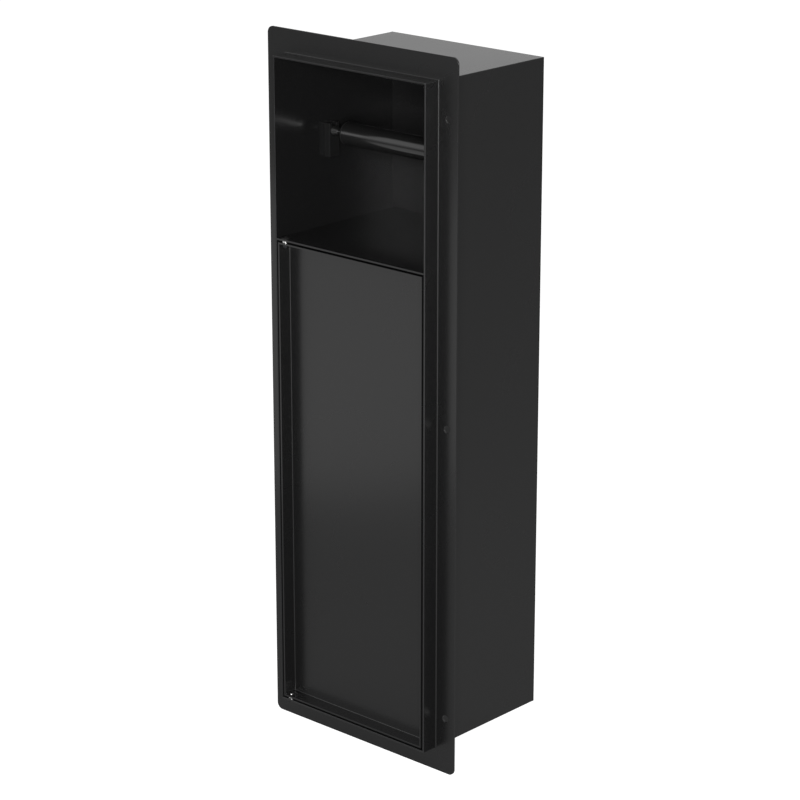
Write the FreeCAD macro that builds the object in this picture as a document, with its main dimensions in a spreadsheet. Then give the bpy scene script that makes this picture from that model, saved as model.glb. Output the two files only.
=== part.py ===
import FreeCAD, Part
import os
import re

import Sketcher

# A steel cabinet that is built into a wall: a niche with a paper roller above, a tile-in door below.
# The origin is the middle of the flange's rear face, which lies on the wall. X runs to the right,
# Y into the wall and Z up. All lengths are in millimetres.

SIZES = (
    # The box and its rim
    ("box_width", 176.0),
    ("box_height", 600.0),
    ("recess_depth", 134.5),
    ("box_sheet", 1.5),
    ("rim_projection", 16.0),
    ("divider_rise", 437.4),
    # The flange on the wall
    ("flange_border", 21.5),
    ("flange_sheet", 1.5),
    ("flange_corner", 6.0),
    ("flange_lip", 0.2),
    ("flange_lip_round", 1.2),
    ("fixing_hole", 7.0),
    ("fixing_edge", 10.0),
    ("fixing_end", 52.5),
    # The door
    ("door_gap", 2.0),
    ("door_sheet", 1.5),
    ("tray_depth", 13.0),
    ("tray_bend", 1.0),
    # The door's pivots
    ("pivot_side", 5.5),
    ("pivot_front", 4.0),
    ("pin_diameter", 3.0),
    ("pin_proud", 1.0),
    ("pin_dome", 0.6),
    ("washer_rim", 1.5),
    ("washer_play", 0.3),
    ("running_fit", 0.05),
    ("bush_wall", 1.45),
    ("bush_collar", 0.7),
    ("bush_collar_height", 1.0),
    ("pivot_nut_flats", 5.5),
    ("pivot_nut_height", 2.4),
    ("driver_slot_width", 0.6),
    ("driver_slot_depth", 0.6),
    # The roller in the niche
    ("roller_depth", 50.3),
    ("roller_rise", 85.6),
    ("rod_diameter", 5.0),
    ("rod_end_gap", 2.0),
    ("rod_point", 0.8),
    ("collar_diameter", 10.4),
    ("collar_length", 6.0),
    ("collar_wall", 0.6),
    ("collar_gap", 0.3),
    ("tube_diameter", 20.5),
    ("tube_wall", 1.2),
    ("roller_end_gap", 8.7),
    ("cap_rim", 2.0),
    ("cap_plug", 8.0),
    ("cap_bevel", 0.8),
    ("cap_gap", 0.05),
    # The roller's brackets
    ("bracket_reach", 6.5),
    ("bracket_width", 12.0),
    ("bracket_height", 30.0),
    ("bracket_sheet", 1.5),
    ("bracket_top", 7.0),
    ("slot_play", 0.2),
    # The touch latch
    ("latch_rise", 215.0),
    ("latch_side_gap", 1.0),
    ("latch_travel", 3.0),
    ("latch_reserve", 1.2),
    ("latch_play", 0.3),
    ("guide_diameter", 8.8),
    ("guide_length", 16.0),
    ("guide_wall", 0.9),
    ("plunger_fit", 0.1),
    ("stem_step", 0.9),
    ("magnet_wall", 0.5),
    ("magnet_length", 3.0),
    ("bezel_step", 0.6),
    ("bezel_lip", 0.9),
    ("bezel_rim", 1.2),
    ("bezel_depth", 4.0),
    ("housing_length", 50.0),
    ("housing_wall", 2.4),
    ("housing_edge", 1.5),
    ("housing_end_wall", 3.0),
    ("spring_wire", 0.8),
    ("spring_pocket", 6.0),
    ("spring_play", 0.3),
    ("latch_screw_wall", 0.8),
    ("latch_screw_edge", 4.5),
    ("latch_screw_inset", 10.0),
    ("latch_screw_diameter", 3.0),
    ("latch_screw_head", 5.6),
    ("latch_screw_head_height", 2.0),
    ("latch_screw_tail", 1.0),
    ("latch_nut_flats", 5.5),
    ("latch_nut_height", 2.4),
    ("latch_bracket_sheet", 1.5),
    ("latch_bracket_drop", 14.0),
    ("latch_bracket_margin", 2.0),
    # The strike plate on the back of the tray
    ("strike_width", 18.0),
    ("strike_height", 40.0),
    ("strike_thickness", 1.2),
    ("strike_corner", 2.0),
    # The door's stops
    ("stop_end_distance", 38.0),
    ("stop_height", 16.0),
    ("stop_reach", 15.0),
    ("stop_foot", 20.0),
    ("stop_sheet", 1.5),
    ("stop_free_push", 3.5),
    ("pad_diameter", 9.0),
    ("pad_thickness", 2.0),
    ("pad_edge", 0.5),
    ("pad_inset", 7.5),
    # One overrun serves every cut
    ("overrun", 1.0),
)

# Places and sizes that follow from the table, written as formulas of it
HALF_WIDTH = "(box_width / 2)"
HALF_HEIGHT = "(box_height / 2)"
INNER_HALF_WIDTH = "(box_width / 2 - box_sheet)"
RIM_DEPTH = "(flange_sheet + rim_projection)"
BACK_INSIDE = "(recess_depth - box_sheet)"
FLANGE_HALF_WIDTH = "(box_width / 2 + flange_border)"
FLANGE_HALF_HEIGHT = "(box_height / 2 + flange_border)"
FLOOR_TOP = "(-box_height / 2 + box_sheet)"
DIVIDER_BOTTOM = "(-box_height / 2 + divider_rise)"
DIVIDER_TOP = f"({DIVIDER_BOTTOM} + box_sheet)"

DOOR_HALF_WIDTH = f"({INNER_HALF_WIDTH} - door_gap)"
DOOR_BOTTOM = f"({FLOOR_TOP} + door_gap)"
DOOR_TOP = f"({DIVIDER_BOTTOM} - door_gap)"
DOOR_DEPTH = "(tray_depth + door_sheet)"
DOOR_REAR = f"(-{RIM_DEPTH} + {DOOR_DEPTH})"

PIVOT_X = f"(-{DOOR_HALF_WIDTH} + pivot_side)"
PIVOT_Y = f"(-{RIM_DEPTH} + pivot_front)"
PIN_BORE = "(pin_diameter + 2 * running_fit)"
BUSH_DIAMETER = f"({PIN_BORE} + 2 * bush_wall)"
WASHER_HEIGHT = "(door_gap - washer_play)"

ROLLER_Z = f"({DIVIDER_TOP} + roller_rise)"
BRACKET_FACE = f"({INNER_HALF_WIDTH} - bracket_reach)"
ROD_HALF_LENGTH = f"({INNER_HALF_WIDTH} - rod_end_gap)"
COLLAR_OUTSIDE = f"({BRACKET_FACE} - collar_gap)"
TUBE_HALF_LENGTH = f"({COLLAR_OUTSIDE} - collar_length - roller_end_gap - cap_rim)"
TUBE_BORE = "(tube_diameter - 2 * tube_wall)"

STEM_DIAMETER = "(guide_diameter - 2 * stem_step)"
GUIDE_BORE = "(guide_diameter + 2 * plunger_fit)"
BEZEL_THREAD = f"({GUIDE_BORE} + 2 * bezel_step)"
SPRING_RECESS = "(guide_diameter - 2 * guide_wall)"
SPRING_DIAMETER = f"({SPRING_RECESS} - 2 * spring_play)"
LATCH_SCREW_BORE = "(latch_screw_diameter + 2 * plunger_fit)"
LATCH_SCREW_SIDE = f"({BEZEL_THREAD} / 2 + latch_screw_wall + {LATCH_SCREW_BORE} / 2)"
HOUSING_LEFT = f"({BEZEL_THREAD} / 2 + housing_wall)"
HOUSING_RIGHT = f"({LATCH_SCREW_SIDE} + latch_screw_edge)"
LATCH_X = f"({INNER_HALF_WIDTH} - latch_bracket_sheet - latch_side_gap - {HOUSING_RIGHT})"
LATCH_Z = "(-box_height / 2 + latch_rise)"
LATCH_SCREW_X = f"({LATCH_X} + {LATCH_SCREW_SIDE})"
HOUSING_BOTTOM = f"({LATCH_Z} - {HOUSING_LEFT})"
HOUSING_TOP = f"({LATCH_Z} + {HOUSING_LEFT})"
STRIKE_REAR = f"({DOOR_REAR} + strike_thickness)"
PLUNGER_TIP = f"({STRIKE_REAR} + latch_play)"
BEZEL_FRONT = f"({PLUNGER_TIP} + latch_travel + latch_reserve)"
HOUSING_FRONT = f"({BEZEL_FRONT} + bezel_rim)"
HOUSING_REAR = f"({HOUSING_FRONT} + housing_length)"
GUIDE_FRONT = f"({HOUSING_FRONT} + bezel_depth + latch_play)"
GUIDE_REAR = f"({GUIDE_FRONT} + guide_length)"
SPRING_FRONT = f"({GUIDE_REAR} - spring_pocket + latch_travel + latch_play)"
SPRING_LENGTH = f"({HOUSING_REAR} - housing_end_wall - {SPRING_FRONT})"

STOP_FACE = f"({DOOR_REAR} + stop_free_push + pad_thickness)"

# The three ways that a round bar can lie
X_AXIS = FreeCAD.Rotation(FreeCAD.Vector(0, 1, 0), 90)
Y_AXIS = FreeCAD.Rotation(FreeCAD.Vector(1, 0, 0), -90)
Z_AXIS = FreeCAD.Rotation()

# How closely a computed place has to agree to count as the same
SAME = 1e-6

doc = FreeCAD.newDocument("wall_cabinet")
sheet = doc.addObject("Spreadsheet::Sheet", "Sizes")
for line, (alias, number) in enumerate(SIZES, start=1):
    sheet.set(f"A{line}", alias)
    sheet.set(f"B{line}", str(number))
    sheet.setAlias(f"B{line}", alias)
doc.recompute()

ALIASES = {alias for alias, number in SIZES}
pieces = []


def fill_in(text, form):
    """Put each of the table's names in a formula into another form."""
    return re.sub(r"[a-z_]+", lambda word: form(word[0]) if word[0] in ALIASES else word[0], text)


def formula(text):
    """A formula of the table's names, in the form that an object's property is bound with."""
    return fill_in(text, lambda name: f"Sizes.{name}")


def value(text):
    """The number that a formula of the table's names gives now."""
    return FreeCAD.Units.Quantity(fill_in(text, lambda name: f"{sheet.get(name)}")).Value


def bind(item, **formulas):
    """Bind properties of an object to formulas; x, y and z are its place."""
    for name, text in formulas.items():
        path = f"Placement.Base.{name}" if name in ("x", "y", "z") else name
        item.setExpression(path, formula(text))
    return item


def piece(item, label):
    """Name an object as one sub-part of the cabinet."""
    item.Label = label
    pieces.append(item)
    return item


def block(x, y, z, width, depth, height):
    """A rectangular block from its lowest corner and its sizes along X, Y and Z."""
    item = doc.addObject("Part::Box", "Block")
    return bind(item, x=x, y=y, z=z, Length=width, Width=depth, Height=height)


def round_bar(axis, x, y, z, diameter, length):
    """A cylinder that runs from its place along the given axis."""
    item = doc.addObject("Part::Cylinder", "RoundBar")
    item.Placement = FreeCAD.Placement(FreeCAD.Vector(), axis)
    return bind(item, x=x, y=y, z=z, Radius=f"({diameter}) / 2", Height=length)


def taper(axis, x, y, z, start_diameter, end_diameter, length):
    """A cone that runs from its place along the given axis."""
    item = doc.addObject("Part::Cone", "Taper")
    item.Placement = FreeCAD.Placement(FreeCAD.Vector(), axis)
    start = f"({start_diameter}) / 2"
    end = f"({end_diameter}) / 2"
    return bind(item, x=x, y=y, z=z, Radius1=start, Radius2=end, Height=length)


def hex_bar(x, y, z, flats, height):
    """An upright hexagonal bar, from its width across the flats."""
    item = doc.addObject("Part::Prism", "HexBar")
    item.Polygon = 6
    return bind(item, x=x, y=y, z=z, Circumradius=f"({flats}) / sqrt(3)", Height=height)


def join(*items):
    """One solid from several that share faces or overlap."""
    item = doc.addObject("Part::MultiFuse", "Joined")
    item.Shapes = list(items)
    item.Refine = True
    return item


def group(*items):
    """Several separate solids as one object."""
    item = doc.addObject("Part::Compound", "Group")
    item.Links = list(items)
    return item


def cut(base, *tools):
    """A solid with others taken out of it."""
    item = doc.addObject("Part::Cut", "Trimmed")
    item.Base = base
    item.Tool = tools[0] if len(tools) == 1 else join(*tools)
    item.Refine = True
    return item


def mirror_across_x(source):
    """The left-hand twin of a right-hand piece."""
    item = doc.addObject("Part::Mirroring", "Twin")
    item.Source = source
    item.Normal = FreeCAD.Vector(1, 0, 0)
    return item


def edge_names(shape, wanted):
    """The names of the edges whose two ends and middle pass a test."""
    names = []
    for number, edge in enumerate(shape.Edges, start=1):
        if wanted(edge):
            names.append(f"Edge{number}")
    return names


def straight_along(edge, axis):
    """Whether an edge is a straight line along one axis."""
    if not isinstance(edge.Curve, Part.Line):
        return False
    return edge.Curve.Direction.cross(axis).Length < SAME


# Bodies made from sketches


def new_body(label):
    """An empty body for one sheet metal piece."""
    body = doc.addObject("PartDesign::Body", "Body")
    return piece(body, label)


def new_sketch(body, plane, offset="0"):
    """A sketch on one of the body's own planes, moved along the plane's normal."""
    sketch = body.newObject("Sketcher::SketchObject", "Sketch")
    support = next(item for item in body.Origin.OriginFeatures if item.Role == plane)
    sketch.AttachmentSupport = [(support, "")]
    sketch.MapMode = "FlatFace"
    sketch.setExpression("AttachmentOffset.Base.z", formula(offset))
    return sketch


def pin_point(sketch, curve, end, u, v):
    """Hold one point of a sketch at formulas for its two coordinates."""
    for kind, text in (("DistanceX", u), ("DistanceY", v)):
        number = sketch.addConstraint(Sketcher.Constraint(kind, -1, 1, curve, end, value(text)))
        sketch.setExpression(f"Constraints[{number}]", formula(text))


def draw_outline(sketch, corners):
    """A closed outline of straight lines through corners given as pairs of formulas."""
    spots = [FreeCAD.Vector(value(u), value(v), 0) for u, v in corners]
    first = sketch.GeometryCount
    for start, end in zip(spots, spots[1:] + spots[:1]):
        sketch.addGeometry(Part.LineSegment(start, end))
    for step, (u, v) in enumerate(corners):
        before = first + (step - 1) % len(corners)
        sketch.addConstraint(Sketcher.Constraint("Coincident", before, 2, first + step, 1))
        pin_point(sketch, first + step, 1, u, v)


def draw_rectangle(sketch, left, bottom, right, top):
    """A rectangle between two corners given as formulas."""
    draw_outline(sketch, [(left, bottom), (right, bottom), (right, top), (left, top)])


def draw_circle(sketch, u, v, diameter):
    """A circle at a place and of a diameter given as formulas."""
    centre = FreeCAD.Vector(value(u), value(v), 0)
    curve = sketch.addGeometry(Part.Circle(centre, FreeCAD.Vector(0, 0, 1), value(diameter) / 2))
    pin_point(sketch, curve, 3, u, v)
    number = sketch.addConstraint(Sketcher.Constraint("Diameter", curve, value(diameter)))
    sketch.setExpression(f"Constraints[{number}]", formula(diameter))


def pad(body, sketch, length):
    """Raise a sketch into a solid."""
    feature = body.newObject("PartDesign::Pad", "Pad")
    feature.Profile = sketch
    feature.setExpression("Length", formula(length))
    return feature


def pocket(body, sketch, depth=None):
    """Cut a sketch into the body, to a depth or through all of it both ways."""
    feature = body.newObject("PartDesign::Pocket", "Pocket")
    feature.Profile = sketch
    if depth is None:
        feature.Type = "ThroughAll"
        feature.Midplane = True
    else:
        feature.setExpression("Length", formula(depth))
    return feature


def fillet(body, feature, wanted, radius):
    """Round the edges of a body's last feature that pass a test."""
    doc.recompute()
    rounding = body.newObject("PartDesign::Fillet", "Fillet")
    rounding.Base = (feature, edge_names(feature.Shape, wanted))
    rounding.setExpression("Radius", formula(radius))
    return rounding


def chamfer(body, feature, wanted, size):
    """Bevel the edges of a body's last feature that pass a test."""
    doc.recompute()
    bevel = body.newObject("PartDesign::Chamfer", "Chamfer")
    bevel.Base = (feature, edge_names(feature.Shape, wanted))
    bevel.setExpression("Size", formula(size))
    return bevel


# The box


def box_walls():
    """Five welded sheets: two sides, top, bottom and back. The sides, top and bottom form the rim too."""
    length = f"{RIM_DEPTH} + {BACK_INSIDE}"
    left = block(f"-{HALF_WIDTH}", f"-{RIM_DEPTH}", f"-{HALF_HEIGHT}", "box_sheet", length, "box_height")
    piece(left, "left_side_wall")
    right = block(INNER_HALF_WIDTH, f"-{RIM_DEPTH}", f"-{HALF_HEIGHT}", "box_sheet", length, "box_height")
    piece(right, "right_side_wall")
    inside = f"2 * {INNER_HALF_WIDTH}"
    under = f"{HALF_HEIGHT} - box_sheet"
    top = block(f"-{INNER_HALF_WIDTH}", f"-{RIM_DEPTH}", under, inside, length, "box_sheet")
    piece(top, "top_wall")
    floor = block(f"-{INNER_HALF_WIDTH}", f"-{RIM_DEPTH}", f"-{HALF_HEIGHT}", inside, length, "box_sheet")
    start = f"-{HALF_HEIGHT} - overrun"
    bore = round_bar(Z_AXIS, PIVOT_X, PIVOT_Y, start, BUSH_DIAMETER, "box_sheet + 2 * overrun")
    piece(cut(floor, bore), "bottom_wall")
    back = block(f"-{HALF_WIDTH}", BACK_INSIDE, f"-{HALF_HEIGHT}", "box_width", "box_sheet", "box_height")
    piece(back, "back_wall")


def divider_shelf():
    """The sheet between the niche and the lower compartment, bored for the upper pivot bush."""
    depth = f"{RIM_DEPTH} + {BACK_INSIDE}"
    inside = f"2 * {INNER_HALF_WIDTH}"
    shelf = block(f"-{INNER_HALF_WIDTH}", f"-{RIM_DEPTH}", DIVIDER_BOTTOM, inside, depth, "box_sheet")
    start = f"{DIVIDER_BOTTOM} - overrun"
    bore = round_bar(Z_AXIS, PIVOT_X, PIVOT_Y, start, BUSH_DIAMETER, "box_sheet + 2 * overrun")
    piece(cut(shelf, bore), "divider_shelf")


def mounting_flange():
    """The frame plate that is welded round the box and stops it at the wall, with six fixing holes."""
    body = new_body("mounting_flange")
    outline = new_sketch(body, "XZ_Plane")
    side = FLANGE_HALF_WIDTH
    end = FLANGE_HALF_HEIGHT
    draw_rectangle(outline, f"-{side}", f"-{end}", side, end)
    draw_rectangle(outline, f"-{HALF_WIDTH}", f"-{HALF_HEIGHT}", HALF_WIDTH, HALF_HEIGHT)
    plate = pad(body, outline, "flange_sheet")
    reach = value(f"{side} + {end}")

    def is_outer_corner(edge):
        middle = edge.CenterOfMass
        at_corner = abs(abs(middle.x) + abs(middle.z) - reach) < SAME
        return at_corner and straight_along(edge, FreeCAD.Vector(0, 1, 0))

    fillet(body, plate, is_outer_corner, "flange_corner")
    lip = new_sketch(body, "XZ_Plane", "flange_sheet")
    wide = f"({HALF_WIDTH} + flange_lip)"
    tall = f"({HALF_HEIGHT} + flange_lip)"
    draw_rectangle(lip, f"-{wide}", f"-{tall}", wide, tall)
    draw_rectangle(lip, f"-{HALF_WIDTH}", f"-{HALF_HEIGHT}", HALF_WIDTH, HALF_HEIGHT)
    raised = pad(body, lip, "flange_lip_round + flange_lip")
    foot = value("-flange_sheet")
    lip_reach = value(tall)

    def is_lip_foot(edge):
        on_face = all(abs(corner.Point.y - foot) < SAME for corner in edge.Vertexes)
        near = all(abs(corner.Point.z) < lip_reach + SAME for corner in edge.Vertexes)
        return on_face and near

    fillet(body, raised, is_lip_foot, "flange_lip_round")
    holes = new_sketch(body, "XZ_Plane")
    for sign in ("-", ""):
        for rise in (f"-({end} - fixing_end)", "0", f"{end} - fixing_end"):
            draw_circle(holes, f"{sign}({side} - fixing_edge)", rise, "fixing_hole")
    pocket(body, holes)


# The roller in the niche


def roller_brackets():
    """A channel on each side wall, with a slot open at the top that the rod drops into."""
    body = new_body("roller_bracket_right")
    profile = new_sketch(body, "XY_Plane", f"{ROLLER_Z} + bracket_top - bracket_height")
    front = "(roller_depth - bracket_width / 2)"
    rear = "(roller_depth + bracket_width / 2)"
    draw_outline(
        profile,
        [
            (BRACKET_FACE, front),
            (INNER_HALF_WIDTH, front),
            (INNER_HALF_WIDTH, f"{front} + bracket_sheet"),
            (f"{BRACKET_FACE} + bracket_sheet", f"{front} + bracket_sheet"),
            (f"{BRACKET_FACE} + bracket_sheet", f"{rear} - bracket_sheet"),
            (INNER_HALF_WIDTH, f"{rear} - bracket_sheet"),
            (INNER_HALF_WIDTH, rear),
            (BRACKET_FACE, rear),
        ],
    )
    pad(body, profile, "bracket_height")
    slot = new_sketch(body, "YZ_Plane", f"{BRACKET_FACE} + bracket_sheet + overrun")
    half = "(rod_diameter / 2 + slot_play)"
    top = f"{ROLLER_Z} + bracket_top + overrun"
    draw_rectangle(slot, f"roller_depth - {half}", ROLLER_Z, f"roller_depth + {half}", top)
    pocket(body, slot, "bracket_sheet + 2 * overrun")
    seat = new_sketch(body, "YZ_Plane", f"{BRACKET_FACE} + bracket_sheet + overrun")
    draw_circle(seat, "roller_depth", ROLLER_Z, f"2 * {half}")
    pocket(body, seat, "bracket_sheet + 2 * overrun")
    piece(mirror_across_x(body), "roller_bracket_left")


def roller_rod():
    """The rod that rests in the two slots, with pointed ends and a turned collar near each end."""
    shoulder = f"({ROD_HALF_LENGTH} - rod_point)"
    bar = round_bar(X_AXIS, f"-{shoulder}", "roller_depth", ROLLER_Z, "rod_diameter", f"2 * {shoulder}")
    blunt = "rod_diameter - 2 * rod_point"
    start = f"-{ROD_HALF_LENGTH}"
    left = taper(X_AXIS, start, "roller_depth", ROLLER_Z, blunt, "rod_diameter", "rod_point")
    right = taper(X_AXIS, shoulder, "roller_depth", ROLLER_Z, "rod_diameter", blunt, "rod_point")
    piece(join(bar, left, right), "roller_rod")


def rod_collars():
    """A tapered collar at each end of the rod, which keeps it between the brackets."""
    cone = taper(
        X_AXIS,
        f"{COLLAR_OUTSIDE} - collar_length",
        "roller_depth",
        ROLLER_Z,
        "rod_diameter + 2 * collar_wall",
        "collar_diameter",
        "collar_length",
    )
    start = f"{COLLAR_OUTSIDE} - collar_length - overrun"
    bore = round_bar(X_AXIS, start, "roller_depth", ROLLER_Z, "rod_diameter", "collar_length + 2 * overrun")
    collar = piece(cut(cone, bore), "rod_collar_right")
    piece(mirror_across_x(collar), "rod_collar_left")


def roller_tube():
    """The thin tube that the paper roll sits on."""
    length = f"2 * {TUBE_HALF_LENGTH}"
    skin = round_bar(X_AXIS, f"-{TUBE_HALF_LENGTH}", "roller_depth", ROLLER_Z, "tube_diameter", length)
    start = f"-{TUBE_HALF_LENGTH} - overrun"
    hollow = round_bar(X_AXIS, start, "roller_depth", ROLLER_Z, TUBE_BORE, f"{length} + 2 * overrun")
    piece(cut(skin, hollow), "roller_tube")


def roller_caps():
    """A plug in each end of the tube, bored to run on the rod."""
    straight = "cap_rim - cap_bevel"
    rim = round_bar(X_AXIS, TUBE_HALF_LENGTH, "roller_depth", ROLLER_Z, "tube_diameter", straight)
    shoulder = f"{TUBE_HALF_LENGTH} + {straight}"
    blunt = "tube_diameter - 2 * cap_bevel"
    edge = taper(X_AXIS, shoulder, "roller_depth", ROLLER_Z, "tube_diameter", blunt, "cap_bevel")
    start = f"{TUBE_HALF_LENGTH} - cap_plug"
    plug = round_bar(X_AXIS, start, "roller_depth", ROLLER_Z, f"{TUBE_BORE} - 2 * cap_gap", "cap_plug")
    bore = round_bar(
        X_AXIS,
        f"{start} - overrun",
        "roller_depth",
        ROLLER_Z,
        "rod_diameter + 2 * running_fit",
        "cap_plug + cap_rim + 2 * overrun",
    )
    cap = piece(cut(join(rim, edge, plug), bore), "roller_cap_right")
    piece(mirror_across_x(cap), "roller_cap_left")


# The door and its pivots


def door_tray():
    """The door: a shallow pan, open to the front, that takes a tile flush with the rim."""
    body = new_body("door_tray")
    outline = new_sketch(body, "XZ_Plane", f"-{DOOR_REAR}")
    draw_rectangle(outline, f"-{DOOR_HALF_WIDTH}", DOOR_BOTTOM, DOOR_HALF_WIDTH, DOOR_TOP)
    slab = pad(body, outline, DOOR_DEPTH)
    rear = value(DOOR_REAR)

    def is_rear_edge(edge):
        return all(abs(corner.Point.y - rear) < SAME for corner in edge.Vertexes)

    fillet(body, slab, is_rear_edge, "tray_bend + door_sheet")
    recess = new_sketch(body, "XZ_Plane", RIM_DEPTH)
    inner = f"({DOOR_HALF_WIDTH} - door_sheet)"
    draw_rectangle(recess, f"-{inner}", f"{DOOR_BOTTOM} + door_sheet", inner, f"{DOOR_TOP} - door_sheet")
    hollow = pocket(body, recess, "tray_depth")
    floor = value(f"{DOOR_REAR} - door_sheet")

    def is_floor_edge(edge):
        return all(abs(corner.Point.y - floor) < SAME for corner in edge.Vertexes)

    fillet(body, hollow, is_floor_edge, "tray_bend")
    bores = new_sketch(body, "XY_Plane")
    draw_circle(bores, PIVOT_X, PIVOT_Y, "pin_diameter")
    pocket(body, bores)


def pivot_pins():
    """A fixed pin at the bottom and a threaded one at the top, each ending flush outside the box."""
    straight = "box_sheet + door_gap + door_sheet + pin_proud - pin_dome"
    blunt = "pin_diameter - 2 * pin_dome"
    low = round_bar(Z_AXIS, PIVOT_X, PIVOT_Y, f"-{HALF_HEIGHT}", "pin_diameter", straight)
    shoulder = f"-{HALF_HEIGHT} + {straight}"
    dome = taper(Z_AXIS, PIVOT_X, PIVOT_Y, shoulder, "pin_diameter", blunt, "pin_dome")
    piece(join(low, dome), "pivot_pin_bottom")

    end = f"{DOOR_TOP} - door_sheet - pivot_nut_height - pin_proud"
    screw = round_bar(Z_AXIS, PIVOT_X, PIVOT_Y, end, "pin_diameter", f"{DIVIDER_TOP} - ({end})")
    slot = block(
        f"{PIVOT_X} - pin_diameter",
        f"{PIVOT_Y} - driver_slot_width / 2",
        f"{end} - overrun",
        "2 * pin_diameter",
        "driver_slot_width",
        "driver_slot_depth + overrun",
    )
    piece(cut(screw, slot), "pivot_screw_top")
    height = f"{DOOR_TOP} - door_sheet - pivot_nut_height"
    nut = hex_bar(PIVOT_X, PIVOT_Y, height, "pivot_nut_flats", "pivot_nut_height")
    thread = round_bar(
        Z_AXIS, PIVOT_X, PIVOT_Y, f"{height} - overrun", "pin_diameter", "pivot_nut_height + 2 * overrun"
    )
    piece(cut(nut, thread), "pivot_nut_top")


def pivot_washers():
    """A bright washer on each pin, in the gap between the door and the box."""
    for label, start in (
        ("pivot_washer_bottom", f"{FLOOR_TOP} + washer_play"),
        ("pivot_washer_top", DOOR_TOP),
    ):
        width = "pin_diameter + 2 * washer_rim"
        ring = round_bar(Z_AXIS, PIVOT_X, PIVOT_Y, start, width, WASHER_HEIGHT)
        low = f"{start} - overrun"
        bore = round_bar(Z_AXIS, PIVOT_X, PIVOT_Y, low, "pin_diameter", f"{WASHER_HEIGHT} + 2 * overrun")
        piece(cut(ring, bore), label)


def pivot_bushes():
    """A plastic bush in the bottom sheet and one in the divider, each with its collar on the far side."""
    for label, seat, collar in (
        ("pivot_bush_bottom", f"-{HALF_HEIGHT}", f"-{HALF_HEIGHT} - bush_collar_height"),
        ("pivot_bush_top", DIVIDER_BOTTOM, DIVIDER_TOP),
    ):
        sleeve = round_bar(Z_AXIS, PIVOT_X, PIVOT_Y, seat, BUSH_DIAMETER, "box_sheet")
        width = f"{BUSH_DIAMETER} + 2 * bush_collar"
        ring = round_bar(Z_AXIS, PIVOT_X, PIVOT_Y, collar, width, "bush_collar_height")
        low = f"{seat} - bush_collar_height - overrun"
        through = "box_sheet + 2 * bush_collar_height + 2 * overrun"
        bore = round_bar(Z_AXIS, PIVOT_X, PIVOT_Y, low, PIN_BORE, through)
        piece(cut(join(sleeve, ring), bore), label)


def strike_plate():
    """The steel plate on the back of the tray that the latch's magnet holds."""
    body = new_body("strike_plate")
    outline = new_sketch(body, "XZ_Plane", f"-{STRIKE_REAR}")
    half = "strike_width / 2"
    rise = "strike_height / 2"
    draw_rectangle(
        outline, f"{LATCH_X} - {half}", f"{LATCH_Z} - {rise}", f"{LATCH_X} + {half}", f"{LATCH_Z} + {rise}"
    )
    plate = pad(body, outline, "strike_thickness")

    def is_corner(edge):
        return straight_along(edge, FreeCAD.Vector(0, 1, 0))

    fillet(body, plate, is_corner, "strike_corner")


# The touch latch


def latch_housing():
    """The block that guides the plunger, bored from the front and drilled for two screws."""
    body = new_body("latch_housing")
    outline = new_sketch(body, "XZ_Plane", f"-{HOUSING_REAR}")
    draw_rectangle(
        outline, f"{LATCH_X} - {HOUSING_LEFT}", HOUSING_BOTTOM, f"{LATCH_X} + {HOUSING_RIGHT}", HOUSING_TOP
    )
    block_pad = pad(body, outline, "housing_length")

    def is_long_edge(edge):
        return straight_along(edge, FreeCAD.Vector(0, 1, 0))

    chamfer(body, block_pad, is_long_edge, "housing_edge")
    for diameter, depth in (
        (BEZEL_THREAD, "bezel_depth"),
        (GUIDE_BORE, f"{GUIDE_REAR} + latch_travel + latch_play - {HOUSING_FRONT}"),
        (SPRING_RECESS, "housing_length - housing_end_wall"),
    ):
        bore = new_sketch(body, "XZ_Plane", f"-{HOUSING_FRONT}")
        draw_circle(bore, LATCH_X, LATCH_Z, diameter)
        pocket(body, bore, depth)
    holes = new_sketch(body, "XY_Plane")
    for place in latch_screw_places():
        draw_circle(holes, LATCH_SCREW_X, place, LATCH_SCREW_BORE)
    pocket(body, holes)


def latch_screw_places():
    """How far into the wall each of the housing's two screws stands."""
    return f"({HOUSING_FRONT} + latch_screw_inset)", f"({HOUSING_REAR} - latch_screw_inset)"


def latch_bezel():
    """The threaded ring in the housing's mouth that keeps the plunger in."""
    width = f"{BEZEL_THREAD} + 2 * bezel_lip"
    rim = round_bar(Y_AXIS, LATCH_X, BEZEL_FRONT, LATCH_Z, width, "bezel_rim")
    thread = round_bar(Y_AXIS, LATCH_X, HOUSING_FRONT, LATCH_Z, BEZEL_THREAD, "bezel_depth")
    start = f"{BEZEL_FRONT} - overrun"
    through = "bezel_rim + bezel_depth + 2 * overrun"
    bore = round_bar(Y_AXIS, LATCH_X, start, LATCH_Z, f"{STEM_DIAMETER} + 2 * plunger_fit", through)
    piece(cut(join(rim, thread), bore), "latch_bezel")


def latch_plunger():
    """The sliding stem, with a thicker guide behind the bezel and a recess for the spring."""
    stem = round_bar(Y_AXIS, LATCH_X, PLUNGER_TIP, LATCH_Z, STEM_DIAMETER, f"{GUIDE_FRONT} - {PLUNGER_TIP}")
    guide = round_bar(Y_AXIS, LATCH_X, GUIDE_FRONT, LATCH_Z, "guide_diameter", "guide_length")
    start = f"{PLUNGER_TIP} - overrun"
    across = f"{STEM_DIAMETER} - 2 * magnet_wall"
    seat = round_bar(Y_AXIS, LATCH_X, start, LATCH_Z, across, "magnet_length + overrun")
    inner = f"{GUIDE_REAR} - spring_pocket"
    recess = round_bar(Y_AXIS, LATCH_X, inner, LATCH_Z, SPRING_RECESS, "spring_pocket + overrun")
    piece(cut(join(stem, guide), seat, recess), "latch_plunger")


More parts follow.
